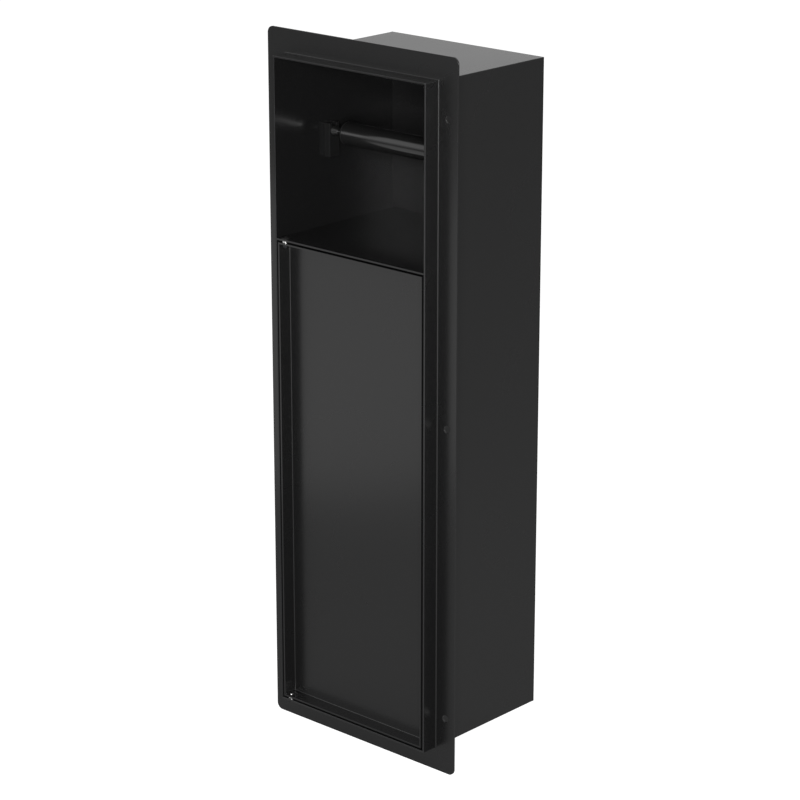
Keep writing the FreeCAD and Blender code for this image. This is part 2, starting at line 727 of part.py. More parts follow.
def latch_magnet():
    """The magnet let into the plunger's tip."""
    across = f"{STEM_DIAMETER} - 2 * magnet_wall"
    piece(round_bar(Y_AXIS, LATCH_X, PLUNGER_TIP, LATCH_Z, across, "magnet_length"), "latch_magnet")


def latch_spring():
    """The coil spring behind the plunger, drawn as its outer form at its pressed length."""
    coil = round_bar(Y_AXIS, LATCH_X, SPRING_FRONT, LATCH_Z, SPRING_DIAMETER, SPRING_LENGTH)
    start = f"{SPRING_FRONT} - overrun"
    across = f"{SPRING_DIAMETER} - 2 * spring_wire"
    middle = round_bar(Y_AXIS, LATCH_X, start, LATCH_Z, across, f"{SPRING_LENGTH} + 2 * overrun")
    piece(cut(coil, middle), "latch_spring")


def latch_bracket():
    """An angle welded to the right wall, with the shelf that the housing is screwed to."""
    body = new_body("latch_bracket")
    profile = new_sketch(body, "XZ_Plane", f"-({HOUSING_REAR} + latch_bracket_margin)")
    left = f"({LATCH_X} - {HOUSING_LEFT})"
    low = f"({HOUSING_BOTTOM} - latch_bracket_drop)"
    draw_outline(
        profile,
        [
            (left, f"{HOUSING_BOTTOM} - latch_bracket_sheet"),
            (f"{INNER_HALF_WIDTH} - latch_bracket_sheet", f"{HOUSING_BOTTOM} - latch_bracket_sheet"),
            (f"{INNER_HALF_WIDTH} - latch_bracket_sheet", low),
            (INNER_HALF_WIDTH, low),
            (INNER_HALF_WIDTH, HOUSING_BOTTOM),
            (left, HOUSING_BOTTOM),
        ],
    )
    pad(body, profile, "housing_length + 2 * latch_bracket_margin")
    holes = new_sketch(body, "XY_Plane")
    for place in latch_screw_places():
        draw_circle(holes, LATCH_SCREW_X, place, LATCH_SCREW_BORE)
    pocket(body, holes)


def latch_fasteners():
    """Two screws down through the housing, each with a nut under the bracket's shelf."""
    screws = []
    nuts = []
    top = HOUSING_TOP
    under = f"({HOUSING_BOTTOM} - latch_bracket_sheet)"
    tip = f"({under} - latch_nut_height - latch_screw_tail)"
    for place in latch_screw_places():
        head = round_bar(Z_AXIS, LATCH_SCREW_X, place, top, "latch_screw_head", "latch_screw_head_height")
        shank = round_bar(Z_AXIS, LATCH_SCREW_X, place, tip, "latch_screw_diameter", f"{top} - {tip}")
        slot = block(
            f"{LATCH_SCREW_X} - latch_screw_head",
            f"{place} - driver_slot_width / 2",
            f"{top} + latch_screw_head_height - driver_slot_depth",
            "2 * latch_screw_head",
            "driver_slot_width",
            "driver_slot_depth + overrun",
        )
        screws.append(cut(join(head, shank), slot))
        low = f"{under} - latch_nut_height"
        nut = hex_bar(LATCH_SCREW_X, place, low, "latch_nut_flats", "latch_nut_height")
        thread = round_bar(Z_AXIS, LATCH_SCREW_X, place, tip, "latch_screw_diameter", f"{top} - {tip}")
        nuts.append(cut(nut, thread))
    piece(group(*screws), "latch_screws")
    piece(group(*nuts), "latch_nuts")


# The stops behind the door's free edge


def door_stops():
    """Two angles on the right wall, each with a rubber pad that stops the door when it is pushed in."""
    for label, middle in (
        ("upper", f"({DOOR_TOP} - stop_end_distance)"),
        ("lower", f"({DOOR_BOTTOM} + stop_end_distance)"),
    ):
        body = new_body(f"stop_tab_{label}")
        profile = new_sketch(body, "XY_Plane", f"{middle} - stop_height / 2")
        left = f"({INNER_HALF_WIDTH} - stop_reach)"
        draw_outline(
            profile,
            [
                (left, STOP_FACE),
                (INNER_HALF_WIDTH, STOP_FACE),
                (INNER_HALF_WIDTH, f"{STOP_FACE} + stop_foot"),
                (f"{INNER_HALF_WIDTH} - stop_sheet", f"{STOP_FACE} + stop_foot"),
                (f"{INNER_HALF_WIDTH} - stop_sheet", f"{STOP_FACE} + stop_sheet"),
                (left, f"{STOP_FACE} + stop_sheet"),
            ],
        )
        pad(body, profile, "stop_height")
        across = f"({INNER_HALF_WIDTH} - stop_reach + pad_inset)"
        front = f"({STOP_FACE} - pad_thickness)"
        blunt = "pad_diameter - 2 * pad_edge"
        nose = taper(Y_AXIS, across, front, middle, blunt, "pad_diameter", "pad_edge")
        shoulder = f"{front} + pad_edge"
        disc = round_bar(Y_AXIS, across, shoulder, middle, "pad_diameter", "pad_thickness - pad_edge")
        piece(join(nose, disc), f"stop_pad_{label}")


def check_document():
    """Stop if any object failed or any sub-part has no sound shape."""
    doc.recompute()
    for item in doc.Objects:
        if "Invalid" in item.State or "Error" in item.State:
            raise RuntimeError(f"{item.Name} ({item.Label}) failed: {item.State}")
    for item in pieces:
        if item.Shape.isNull() or not item.Shape.isValid() or not item.Shape.Solids:
            raise RuntimeError(f"{item.Label} has no sound shape")


def write_parts():
    """Write each sub-part to its own file."""
    os.makedirs("parts", exist_ok=True)
    for item in pieces:
        item.Shape.exportStep(f"parts/{item.Label}.step")
        print(f"{item.Label}: {len(item.Shape.Solids)} solid, {item.Shape.Volume:.1f} mm3")
        print(f"    {item.Shape.BoundBox}")


box_walls()
divider_shelf()
mounting_flange()
roller_brackets()
roller_rod()
rod_collars()
roller_tube()
roller_caps()
door_tray()
pivot_pins()
pivot_washers()
pivot_bushes()
strike_plate()
latch_housing()
latch_bezel()
latch_plunger()
latch_magnet()
latch_spring()
latch_bracket()
latch_fasteners()
door_stops()
check_document()
write_parts()
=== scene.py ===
"""The looks of a recessed wall cabinet: a niche with a paper roller above, a tile-in door below.

Lengths are in metres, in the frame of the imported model: X runs to the right, Y into the wall and Z up.
"""

import logging
import math
from collections.abc import Iterable
from dataclasses import dataclass
from enum import Enum
from functools import cache, cached_property
from typing import ClassVar

import bmesh
import bpy
from mathutils import Matrix, Vector
from mathutils.bvhtree import BVHTree


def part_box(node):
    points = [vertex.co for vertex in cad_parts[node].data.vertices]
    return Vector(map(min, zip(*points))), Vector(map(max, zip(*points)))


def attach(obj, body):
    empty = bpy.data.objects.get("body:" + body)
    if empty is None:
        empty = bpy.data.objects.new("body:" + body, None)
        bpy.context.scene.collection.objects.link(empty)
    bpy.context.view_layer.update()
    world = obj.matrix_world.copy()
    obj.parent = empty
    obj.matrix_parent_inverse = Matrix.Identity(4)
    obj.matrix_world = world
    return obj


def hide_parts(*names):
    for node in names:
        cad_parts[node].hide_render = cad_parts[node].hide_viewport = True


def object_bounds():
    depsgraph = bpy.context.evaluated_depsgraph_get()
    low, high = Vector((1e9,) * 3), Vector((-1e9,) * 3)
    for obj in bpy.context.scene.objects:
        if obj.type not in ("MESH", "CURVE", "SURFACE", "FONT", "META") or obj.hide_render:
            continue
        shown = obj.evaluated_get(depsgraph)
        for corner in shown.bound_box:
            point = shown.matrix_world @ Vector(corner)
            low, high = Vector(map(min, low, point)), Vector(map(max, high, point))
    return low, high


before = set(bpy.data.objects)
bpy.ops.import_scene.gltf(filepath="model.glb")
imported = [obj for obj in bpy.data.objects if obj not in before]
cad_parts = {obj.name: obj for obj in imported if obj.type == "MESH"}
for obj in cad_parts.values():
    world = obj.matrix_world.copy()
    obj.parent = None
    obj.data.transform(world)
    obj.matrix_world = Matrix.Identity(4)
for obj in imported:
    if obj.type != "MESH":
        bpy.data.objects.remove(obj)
cad_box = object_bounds()

log = logging.getLogger("cabinet")

MM = 0.001
FLOAT = "NodeSocketFloat"
GEOMETRY = "NodeSocketGeometry"
MATERIAL = "NodeSocketMaterial"

Colour = tuple[float, float, float]
Profile = list[tuple[float, float]]
Object = bpy.types.Object
Mesh = bpy.types.Mesh
Node = bpy.types.Node
Socket = bpy.types.NodeSocket
Tree = bpy.types.NodeTree
Work = bmesh.types.BMesh


class Slot(Enum):
    """The record's material slots."""

    BLACK_COAT = "black_coat"
    TRAY_COAT = "tray_coat"
    POLISHED_STEEL = "polished_steel"
    PLAIN_STEEL = "plain_steel"
    BLACK_PLASTIC = "black_plastic"
    GREY_PLASTIC = "grey_plastic"
    ROLLER_COAT = "roller_coat"
    MAGNET = "magnet"
    PAD_RUBBER = "pad_rubber"


class Body(Enum):
    """The bodies that move against each other."""

    CABINET = "cabinet"
    DOOR = "door"
    PLUNGER = "plunger"
    ROD = "rod"
    ROLLER = "roller"


class Axis(Enum):
    """The three ways that a turned piece can lie, as the turn that takes Z there."""

    X = Matrix.Rotation(math.radians(90), 4, "Y")
    Y = Matrix.Rotation(math.radians(-90), 4, "X")
    Z = Matrix.Identity(4)


class Graph:
    """A node tree that is being filled."""

    def __init__(self, tree: Tree) -> None:
        """Hold the tree that nodes are added to."""
        self.tree = tree

    def add(self, kind: str, inputs: dict | None = None, **settings: object) -> Node:
        """Add a node.

        Args:
            kind: The node's type.
            inputs: A value or a socket for each input, by its name or number.
            settings: The node's own properties.

        Returns:
            The new node.
        """
        node = self.tree.nodes.new(kind)
        for name, setting in settings.items():
            setattr(node, name, setting)
        for name, value in (inputs or {}).items():
            if isinstance(value, Socket):
                self.tree.links.new(value, node.inputs[name])
            else:
                node.inputs[name].default_value = value
        return node

    def made(self, kind: str, inputs: dict | None = None, **settings: object) -> Socket:
        """Add a node and give its first output; see add."""
        return self.add(kind, inputs, **settings).outputs[0]

    def math(self, operation: str, *values: float | Socket) -> Socket:
        """Add a sum of one to three numbers or sockets, by the operation's name, such as ADD."""
        return self.made("ShaderNodeMath", dict(enumerate(values)), operation=operation)

    def between(self, share: Socket, low: float | Socket, high: float | Socket) -> Socket:
        """Blend from a low number to a high one as the share goes from zero to one."""
        return self.made("ShaderNodeMapRange", {"Value": share, "To Min": low, "To Max": high})

    def rays(self) -> tuple[Socket, Socket]:
        """Whether a ray comes straight from the camera, and whether it comes by way of a mirror or a pane."""
        path = self.add("ShaderNodeLightPath").outputs
        return path["Is Camera Ray"], self.math("ADD", path["Is Glossy Ray"], path["Is Transmission Ray"])


def fresh_graph(owner: bpy.types.ID) -> Graph:
    """Start an empty graph.

    Args:
        owner: The material or world that it is for.

    Returns:
        The graph.
    """
    owner.use_nodes = True
    owner.node_tree.nodes.clear()
    return Graph(owner.node_tree)


class Group(Graph):
    """A node group that is being filled."""

    KIND: ClassVar[str]
    RESULT: ClassVar[str]
    TYPES: ClassVar[dict[type, str]] = {float: FLOAT, int: "NodeSocketInt"}

    def __init__(self, name: str, inputs: dict[str, float | str], *outputs: str) -> None:
        """Start the group with its sockets.

        Args:
            name: The group's name.
            inputs: Each input's first value by its name, or its socket type where it has none.
            outputs: The names of the outputs.
        """
        super().__init__(bpy.data.node_groups.new(name, self.KIND))
        for label, first in inputs.items():
            socket_type = self.TYPES.get(type(first), first)
            socket = self.tree.interface.new_socket(label, in_out="INPUT", socket_type=socket_type)
            if socket_type != first:
                socket.default_value = first
        for label in outputs:
            self.tree.interface.new_socket(label, in_out="OUTPUT", socket_type=self.RESULT)
        self.sizes = self.add("NodeGroupInput").outputs
        self.out = self.add("NodeGroupOutput")

    def give(self, *results: Socket) -> Tree:
        """Link the results to the outputs in their order, and hand over the tree."""
        for number, result in enumerate(results):
            self.tree.links.new(result, self.out.inputs[number])
        return self.tree


class SurfaceGroup(Group):
    """A shader group that puts out a roughness, a height and a mask for the second colour."""

    KIND = "ShaderNodeTree"
    RESULT = FLOAT

    def __init__(self, name: str, inputs: dict[str, float]) -> None:
        """Start the group. All of them take a roughness and how far it swings."""
        super().__init__(name, {**inputs, "Roughness": 0.3, "Spread": 0.1}, "Roughness", "Height", "Mask")

    @cached_property
    def place(self) -> Socket:
        """The spot on the piece, in its own frame."""
        return self.add("ShaderNodeTexCoord").outputs["Object"]

    def mark(self, name: str) -> Socket:
        """A measure that the mesh carries."""
        return self.add("ShaderNodeAttribute", attribute_name=name).outputs["Fac"]

    def clouds(self, scale: str, detail: float) -> Socket:
        """Noise over the surface, with its scale from an input."""
        inputs = {"Vector": self.place, "Scale": self.sizes[scale], "Detail": detail}
        return self.add("ShaderNodeTexNoise", inputs).outputs["Fac"]

    def cells(self, scale: str, feature: str) -> Socket:
        """Distances to scattered points, with their scale from an input."""
        inputs = {"Vector": self.place, "Scale": self.sizes[scale]}
        return self.add("ShaderNodeTexVoronoi", inputs, feature=feature).outputs["Distance"]

    def varied(self, share: Socket) -> Socket:
        """The roughness, swung both ways by a share around a half."""
        swing = self.math("MULTIPLY", self.math("SUBTRACT", share, 0.5), self.sizes["Spread"])
        return self.math("ADD", self.sizes["Roughness"], swing)


@dataclass(frozen=True)
class Finish:
    """What every finish has. Its mask blends the second colour in."""

    name: str
    slot: Slot
    colour: Colour
    roughness: float
    relief: float
    second: Colour = (0.0, 0.0, 0.0)
    spread: float = 0.12
    index: float = 1.5

    METAL: ClassVar[bool] = False

    @staticmethod
    def group() -> Tree:
        """The shader group that all finishes of one kind share."""
        raise NotImplementedError

    def scales(self) -> dict[str, float]:
        """The group's inputs that belong to this kind alone."""
        raise NotImplementedError

    @cache
    def material(self) -> bpy.types.Material:
        """The finish as a material, made once."""
        material = bpy.data.materials.new(self.name)
        graph = fresh_graph(material)
        sizes = {**self.scales(), "Roughness": self.roughness, "Spread": self.spread}
        group = graph.add("ShaderNodeGroup", sizes, node_tree=self.group()).outputs
        shades = {0: group["Mask"], 6: (*self.colour, 1.0), 7: (*self.second, 1.0)}
        colour = graph.add("ShaderNodeMix", shades, data_type="RGBA")
        heights = {"Height": group["Height"], "Distance": self.relief, "Strength": 1.0}
        surface = {
            "Base Color": colour.outputs[2],
            "Roughness": group["Roughness"],
            "Normal": graph.made("ShaderNodeBump", heights),
            **({"Metallic": 1.0} if self.METAL else {"IOR": self.index}),
        }
        graph.add("ShaderNodeOutputMaterial", {"Surface": graph.made("ShaderNodeBsdfPrincipled", surface)})
        return material


@dataclass(frozen=True)
class PowderCoat(Finish):
    """Black polyester powder baked on steel sheet. The film is thinner over an edge, and its paler colour there
    is partly a painted highlight along the edge.
    """

    # The paler colour over edges: partly thin film, partly a painted highlight along the edge.
    second: Colour = (0.022, 0.022, 0.023)
    spread: float = 0.05
    peel: float = 1.1 * MM
    cloud: float = 110 * MM
    edge_gloss: float = 0.08

    @staticmethod
    @cache
    def group() -> Tree:
        """The fine peel of the sprayed film, slow changes of gloss, and thinner, paler film on edges, the paler
        colour partly a painted edge highlight.
        """
        graph = SurfaceGroup("Coat Surface", {"Peel Scale": 900.0, "Cloud Scale": 9.0, "Edge Gloss": 0.05})
        cloud = graph.clouds("Cloud Scale", 3.0)
        patches = graph.math("MULTIPLY", cloud, graph.mark("edge"))
        gloss = graph.math("MULTIPLY", patches, graph.sizes["Edge Gloss"])
        rough = graph.math("SUBTRACT", graph.varied(cloud), gloss)
        return graph.give(rough, graph.clouds("Peel Scale", 2.0), patches)

    def scales(self) -> dict[str, float]:
        """The film's own inputs."""
        return {"Peel Scale": 1 / self.peel, "Cloud Scale": 1 / self.cloud, "Edge Gloss": self.edge_gloss}


@dataclass(frozen=True)
class TurnedMetal(Finish):
    """Bright metal from the lathe. The second colour lies in the hollows of the cutting marks."""

    second: Colour = (0.55, 0.55, 0.54)
    mark: float = 0.25 * MM

    METAL = True

    @staticmethod
    @cache
    def group() -> Tree:
        """Rings of fine cutting marks, by the length along the piece's profile."""
        graph = SurfaceGroup("Turning Marks", {"Mark Scale": 4000.0})
        inputs = {"W": graph.mark("along"), "Scale": graph.sizes["Mark Scale"], "Detail": 4.0}
        marks = graph.add("ShaderNodeTexNoise", inputs, noise_dimensions="1D").outputs["Fac"]
        return graph.give(graph.varied(marks), marks, marks)

    def scales(self) -> dict[str, float]:
        """The cut's own input."""
        return {"Mark Scale": 1 / self.mark}


@dataclass(frozen=True)
class ZincPlate(Finish):
    """Zinc on steel hardware. The second colour is that of its duller patches."""

    second: Colour = (0.40, 0.41, 0.43)
    spread: float = 0.16
    patch: float = 1.6 * MM

    METAL = True

    @staticmethod
    @cache
    def group() -> Tree:
        """Patches of slightly different tone and gloss."""
        graph = SurfaceGroup("Plate Bloom", {"Patch Scale": 700.0})
        patch = graph.cells("Patch Scale", "SMOOTH_F1")
        return graph.give(graph.varied(patch), graph.clouds("Patch Scale", 5.0), patch)

    def scales(self) -> dict[str, float]:
        """The plate's own input."""
        return {"Patch Scale": 1 / self.patch}


@dataclass(frozen=True)
class Moulding(Finish):
    """Plastic or rubber with the grain of its mould. The second colour is its paler bloom."""

    second: Colour = (0.014, 0.014, 0.014)
    pit: float = 0.35 * MM
    bloom: float = 7 * MM

    @staticmethod
    @cache
    def group() -> Tree:
        """The pitted grain of the mould, and a faint bloom."""
        graph = SurfaceGroup("Mould Grain", {"Grain Scale": 2500.0, "Bloom Scale": 120.0})
        bloom = graph.clouds("Bloom Scale", 4.0)
        return graph.give(graph.varied(bloom), graph.cells("Grain Scale", "F1"), bloom)

    def scales(self) -> dict[str, float]:
        """The mould's own inputs."""
        return {"Grain Scale": 1 / self.pit, "Bloom Scale": 1 / self.bloom}


BLACK_COAT = PowderCoat("Satin black coat", Slot.BLACK_COAT, (0.006, 0.006, 0.0061), 0.27, 0.006 * MM)
TRAY_COAT = PowderCoat("Satin black tray coat", Slot.TRAY_COAT, (0.006, 0.006, 0.0061), 0.27, 0.006 * MM)
ROLLER_COAT = PowderCoat("Smooth black roller coat", Slot.ROLLER_COAT, (0.008, 0.008, 0.008), 0.16, 0.003 * MM)
# Copies of the black coat for the niche's back wall, shelf and left side wall: smoother, and paler in colour as
# painted light that stands in for the light inside the niche.
BACK_WALL_PAINTED_LIGHT_COAT = PowderCoat(
    "Smooth black inner coat", Slot.BLACK_COAT, (0.009, 0.009, 0.0091), 0.1, 0.0012 * MM, index=1.37
)
SHELF_PAINTED_LIGHT_COAT = PowderCoat(
    "Smooth black shelf coat", Slot.BLACK_COAT, (0.013, 0.013, 0.0132), 0.1, 0.0012 * MM, index=1.37
)
SIDE_WALL_PAINTED_LIGHT_COAT = PowderCoat(
    "Black inner side coat", Slot.BLACK_COAT, (0.007, 0.007, 0.0071), 0.18, 0.0012 * MM, index=1.37
)
BRACKET_COAT = PowderCoat(
    "Dull black coat",
    Slot.BLACK_COAT,
    (0.007, 0.007, 0.0071),
    0.34,
    0.006 * MM,
    # A dimmer edge colour, which paints less highlight along the bracket's edges.
    (0.009, 0.009, 0.009),
    index=1.37,
    edge_gloss=0.02,
)
POLISHED = TurnedMetal("Polished steel", Slot.POLISHED_STEEL, (0.74, 0.74, 0.73), 0.16, 0.004 * MM)
ZINC = ZincPlate("Zinc plated steel", Slot.PLAIN_STEEL, (0.56, 0.57, 0.58), 0.34, 0.006 * MM)
BLACK_ZINC = ZincPlate(
    "Black zinc plated steel", Slot.PLAIN_STEEL, (0.03, 0.03, 0.032), 0.4, 0.006 * MM, (0.02, 0.02, 0.021)
)
NICKEL = ZincPlate("Nickel plated magnet", Slot.MAGNET, (0.62, 0.60, 0.56), 0.2, 0.003 * MM)
BLACK_PLASTIC = Moulding(
    "Black moulded plastic", Slot.BLACK_PLASTIC, (0.008, 0.008, 0.0082), 0.5, 0.02 * MM, index=1.2
)
GREY_PLASTIC = Moulding(
    "Grey moulded plastic", Slot.GREY_PLASTIC, (0.34, 0.34, 0.35), 0.44, 0.02 * MM, (0.38, 0.38, 0.39)
)
RUBBER = Moulding("Pad rubber", Slot.PAD_RUBBER, (0.035, 0.035, 0.035), 0.72, 0.03 * MM)


def hold(mesh: Mesh, name: str) -> Object:
    """Put a mesh in the scene as a piece.

    Args:
        mesh: The mesh, already in place.
        name: The piece's name.

    Returns:
        The piece.
    """
    mesh.name = name
    piece = bpy.data.objects.new(name, mesh)
    bpy.context.scene.collection.objects.link(piece)
    return piece


def evaluated(piece: Object) -> Mesh:
    """Copy a piece's mesh as its modifiers leave it."""
    graph = bpy.context.evaluated_depsgraph_get()
    return bpy.data.meshes.new_from_object(
        piece.evaluated_get(graph), preserve_all_data_layers=True, depsgraph=graph
    )


def middle(node: str) -> Vector:
    """The centre of a CAD node's box."""
    low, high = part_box(node)
    return (low + high) / 2


def extent(node: str, axis: Axis) -> tuple[float, float, float]:
    """Measure a round CAD node.

    Args:
        node: The node's name.
        axis: The way its axis lies.

    Returns:
        Where it starts and ends along its axis, from its own centre, and its radius.
    """
    half = [(high - low) / 2 for low, high in zip(*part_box(node))]
    along, across = {Axis.X: (0, 2), Axis.Y: (1, 0), Axis.Z: (2, 0)}[axis]
    return -half[along], half[along], half[across]


def stairs(*turns: float) -> Profile:
    """The profile of square steps: a distance from the axis, then a place and a distance for each step."""
    return [(turns[place], turns[place + side]) for place in range(1, len(turns), 2) for side in (-1, 1)]


class MeshWork:
    """Ways to make and finish meshes."""

    MERGE = 0.002 * MM
    FLAT = math.radians(0.6)
    CREASE = math.radians(40)
    WELDED = 0.3 * MM
    CLEAR = 0.1 * MM
    AREA_SCALE = 1e12
    BEVEL_STEPS = 3
    CORNER_STEPS = 4
    CORNER_SHARE = 0.45

    @classmethod
    def merged(cls, *nodes: str) -> Work:
        """Copy CAD nodes, with their loose triangles merged and flat faces joined.

        Args:
            nodes: The nodes' names.

        Returns:
            The new mesh.
        """
        work = bmesh.new()
        for node in nodes:
            work.from_mesh(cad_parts[node].data)
        bmesh.ops.remove_doubles(work, verts=work.verts, dist=cls.MERGE)
        bmesh.ops.dissolve_degenerate(work, dist=cls.MERGE, edges=work.edges)
        bmesh.ops.dissolve_limit(work, angle_limit=cls.FLAT, verts=work.verts, edges=work.edges)
        return work

    @classmethod
    def to_mesh(cls, work: Work) -> Mesh:
        """Turn a working mesh into a plain one with flat faces kept flat and round ones smooth.

        Args:
            work: The working mesh, which is freed.

        Returns:
            The plain mesh.
        """
        work.normal_update()
        for edge in work.edges:
            edge.smooth = edge.calc_face_angle(math.pi) < cls.CREASE
        for face in work.faces:
            face.smooth = True
        normals = cls.even_normals(work)
        mesh = bpy.data.meshes.new("piece")
        work.to_mesh(mesh)
        work.free()
        mesh.normals_split_custom_set(normals)
        return mesh

    @classmethod
    def even_normals(cls, work: Work) -> list[Vector]:
        """Work out shading normals that follow the larger faces, so that only roundings bend the light.

        Args:
            work: The mesh, with its sharp edges marked.

        Returns:
            A normal for each corner of each face.
        """
        normals = []
        for face in work.faces:
            for corner in face.loops:
                fan = {face}
                edges = [corner.edge, corner.link_loop_prev.edge]
                while edges:
                    edge = edges.pop()
                    for other in edge.link_faces if edge.smooth else ():
                        if other not in fan:
                            fan.add(other)
                            edges += [side for side in other.edges if corner.vert in side.verts]
                total = sum((other.normal * other.calc_area() ** 2 * cls.AREA_SCALE for other in fan), Vector())
                normals.append(total.normalized() if total.length > 0 else face.normal.copy())
        return normals

    @classmethod
    def softened(cls, node: str, radius: float, welded_to: Iterable[str], cut: bool) -> Mesh:
        """Copy a CAD node and round its free edges, as a coat or a mould does.

        Args:
            node: The node to copy.
            radius: How wide the rounding is.
            welded_to: Nodes that it is joined to. Edges on them stay sharp.
            cut: Whether its edges run past those nodes, and are cut where they end.

        Returns:
            The new mesh.
        """
        work = cls.merged(node)
        neighbours = None
        if welded_to:
            joined = cls.merged(*welded_to)
            neighbours = BVHTree.FromBMesh(joined)
            joined.free()
            if cut:
                cls.cut_at_neighbours(work, node, welded_to)

        def is_free(edge: bmesh.types.BMEdge) -> bool:
            """Whether an edge is a sharp one that touches no neighbour."""
            if len(edge.link_faces) != 2 or edge.calc_face_angle(0.0) < cls.CREASE:
                return False
            if neighbours is None:
                return True
            centre = (edge.verts[0].co + edge.verts[1].co) / 2
            return neighbours.find_nearest(centre)[3] > cls.WELDED

        mark = work.faces.layers.float.new("edge")
        bevelled = bmesh.ops.bevel(
            work,
            geom=[edge for edge in work.edges if is_free(edge)],
            offset=radius,
            offset_type="OFFSET",
            segments=cls.BEVEL_STEPS,
            profile=0.5,
            affect="EDGES",
            clamp_overlap=True,
        )
        for face in bevelled["faces"]:
            face[mark] = 1.0
        return cls.to_mesh(work)

    @classmethod
    def cut_at_neighbours(cls, work: Work, node: str, neighbours: Iterable[str]) -> None:
        """Split a mesh's faces and edges where its neighbours begin and end.

        Args:
            work: The mesh.
            node: The node that it copies.
            neighbours: The nodes that it is joined to.
        """
        low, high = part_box(node)
        for corner in (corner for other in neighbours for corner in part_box(other)):
            for axis in range(3):
                if low[axis] + cls.CLEAR < corner[axis] < high[axis] - cls.CLEAR:
                    normal = Vector((0, 0, 0))
                    normal[axis] = 1
                    everything = [*work.verts, *work.edges, *work.faces]
                    bmesh.ops.bisect_plane(work, geom=everything, plane_co=corner, plane_no=normal)

    @classmethod
    def rounded(cls, profile: Profile, radius: float) -> Profile:
        """Round the corners of a profile.

        Args:
            profile: The points, as places along the axis and distances from it.
            radius: The rounding, kept within the sides that meet at a corner.

        Returns:
            The new points.
        """
        points = [Vector(point) for point in profile]
        on_axis = (0, len(points) - 1) if profile[0][1] == profile[-1][1] == 0 else ()
        result: list[Vector] = []
        for number, point in enumerate(points):
            if number in on_axis:
                result.append(point)
                continue
            before = points[number - 1]
            after = points[(number + 1) % len(points)]
            shorter = min((before - point).length, (after - point).length)
            reach = min(radius, shorter * cls.CORNER_SHARE)
            start = point + (before - point).normalized() * reach
            end = point + (after - point).normalized() * reach
            for step in range(cls.CORNER_STEPS + 1):
                share = step / cls.CORNER_STEPS
                result.append(start.lerp(point, share).lerp(point.lerp(end, share), share))
        return [(point.x, point.y) for point in result]

    @classmethod
    def turned(cls, axis: Axis, centre: Vector, profile: Profile, radius: float, segments: int) -> Mesh:
        """Turn a profile into a round mesh.

        Args:
            axis: The way its axis lies.
            centre: A point of the axis, from which the profile's places are measured.
            profile: The points, as places along the axis and distances from it. A profile that starts
                and ends at a distance of zero is closed there, and any other one on itself.
            radius: The rounding of its corners.
            segments: How many sides go round.

        Returns:
            The new mesh.
        """
        points = cls.rounded(profile, radius)
        work = bmesh.new()
        measure = work.verts.layers.float.new("along")
        walked = 0.0
        rings = []
        for number, (along, distance) in enumerate(points):
            if number:
                walked += math.dist(points[number], points[number - 1])
            count = 1 if distance == 0 else segments
            ring = []
            for step in range(count):
                angle = math.tau * step / count
                ring.append(work.verts.new((distance * math.cos(angle), distance * math.sin(angle), along)))
                ring[-1][measure] = walked
            rings.append(ring)
        pairs = list(zip(rings, rings[1:]))
        if profile[0][1] != 0:
            pairs.append((rings[-1], rings[0]))
        for one, two in pairs:
            for step in range(segments):
                after = (step + 1) % segments
                corners = [(one, step), (one, after), (two, after), (two, step)]
                work.faces.new(dict.fromkeys(ring[place % len(ring)] for ring, place in corners))
        bmesh.ops.recalc_face_normals(work, faces=work.faces)
        work.transform(Matrix.Translation(centre) @ axis.value)
        return cls.to_mesh(work)

    @staticmethod
    def slotted(shank: Mesh, level: float, width: float, reach: float) -> Mesh:
        """Cut a driver's slot across one end of a round mesh about Z.

        Args:
            shank: The mesh.
            level: Where that end is.
            width: The slot's width, which is its depth too.
            reach: The mesh's radius.

        Returns:
            The cut mesh.
        """
        work = bmesh.new()
        bmesh.ops.create_cube(work, size=2.0, matrix=Matrix.Diagonal((2 * reach, width / 2, width, 1)))
        mesh = bpy.data.meshes.new("slot cutter")
        work.to_mesh(mesh)
        work.free()
        mesh.transform(Matrix.Translation((0, 0, level)))
        piece, cutter = hold(shank, "slot_base"), hold(mesh, "slot_cutter")
        difference = piece.modifiers.new("Slot", "BOOLEAN")
        difference.object = cutter
        difference.operation = "DIFFERENCE"
        difference.solver = "EXACT"
        result = evaluated(piece)
        for helper in (cutter, piece):
            bpy.data.objects.remove(helper)
        return result


@dataclass(frozen=True)
class HexNut:
    """An upright hexagon nut with bevelled corners."""

    flats: float
    bore: float
    height: float

    SIDES = 6
    SIDE_STEPS = 10
    SLOPE = math.tan(math.radians(30))
    FACE_SHARE = 0.96
    CHAMFER_SHARE = 0.1

    def outline(self, angle: float) -> Profile:
        """The nut's section at one angle.

        Args:
            angle: The angle about its axis.

        Returns:
            The points, as distances from the axis and heights.
        """
        turn = math.tau / self.SIDES
        inner = self.flats / 2 * self.FACE_SHARE
        chamfer = self.height * self.CHAMFER_SHARE
        wall = self.flats / 2 / math.cos((angle + turn / 2) % turn - turn / 2)
        fall = (wall - inner) * self.SLOPE
        lower = [(self.bore, chamfer), (self.bore + chamfer, 0.0), (inner, 0.0), (wall, fall)]
        return lower + [(distance, self.height - rise) for distance, rise in reversed(lower)]

    def mesh(self, centres: Iterable[Vector]) -> Mesh:
        """Make one or more of these nuts.

        Args:
            centres: The middle of each nut's lower face.

        Returns:
            The new mesh.
        """
        work = bmesh.new()
        count = self.SIDES * self.SIDE_STEPS
        for centre in centres:
            columns = []
            for step in range(count):
                angle = math.tau * step / count
                across, along = math.cos(angle), math.sin(angle)
                spots = (Vector((reach * across, reach * along, rise)) for reach, rise in self.outline(angle))
                columns.append([work.verts.new(centre + spot) for spot in spots])
            rings = list(zip(*columns))
            for one, two in zip(rings, rings[1:] + rings[:1]):
                for step in range(count):
                    after = (step + 1) % count
                    work.faces.new((one[step], one[after], two[after], two[step]))
        bmesh.ops.recalc_face_normals(work, faces=work.faces)
        return MeshWork.to_mesh(work)


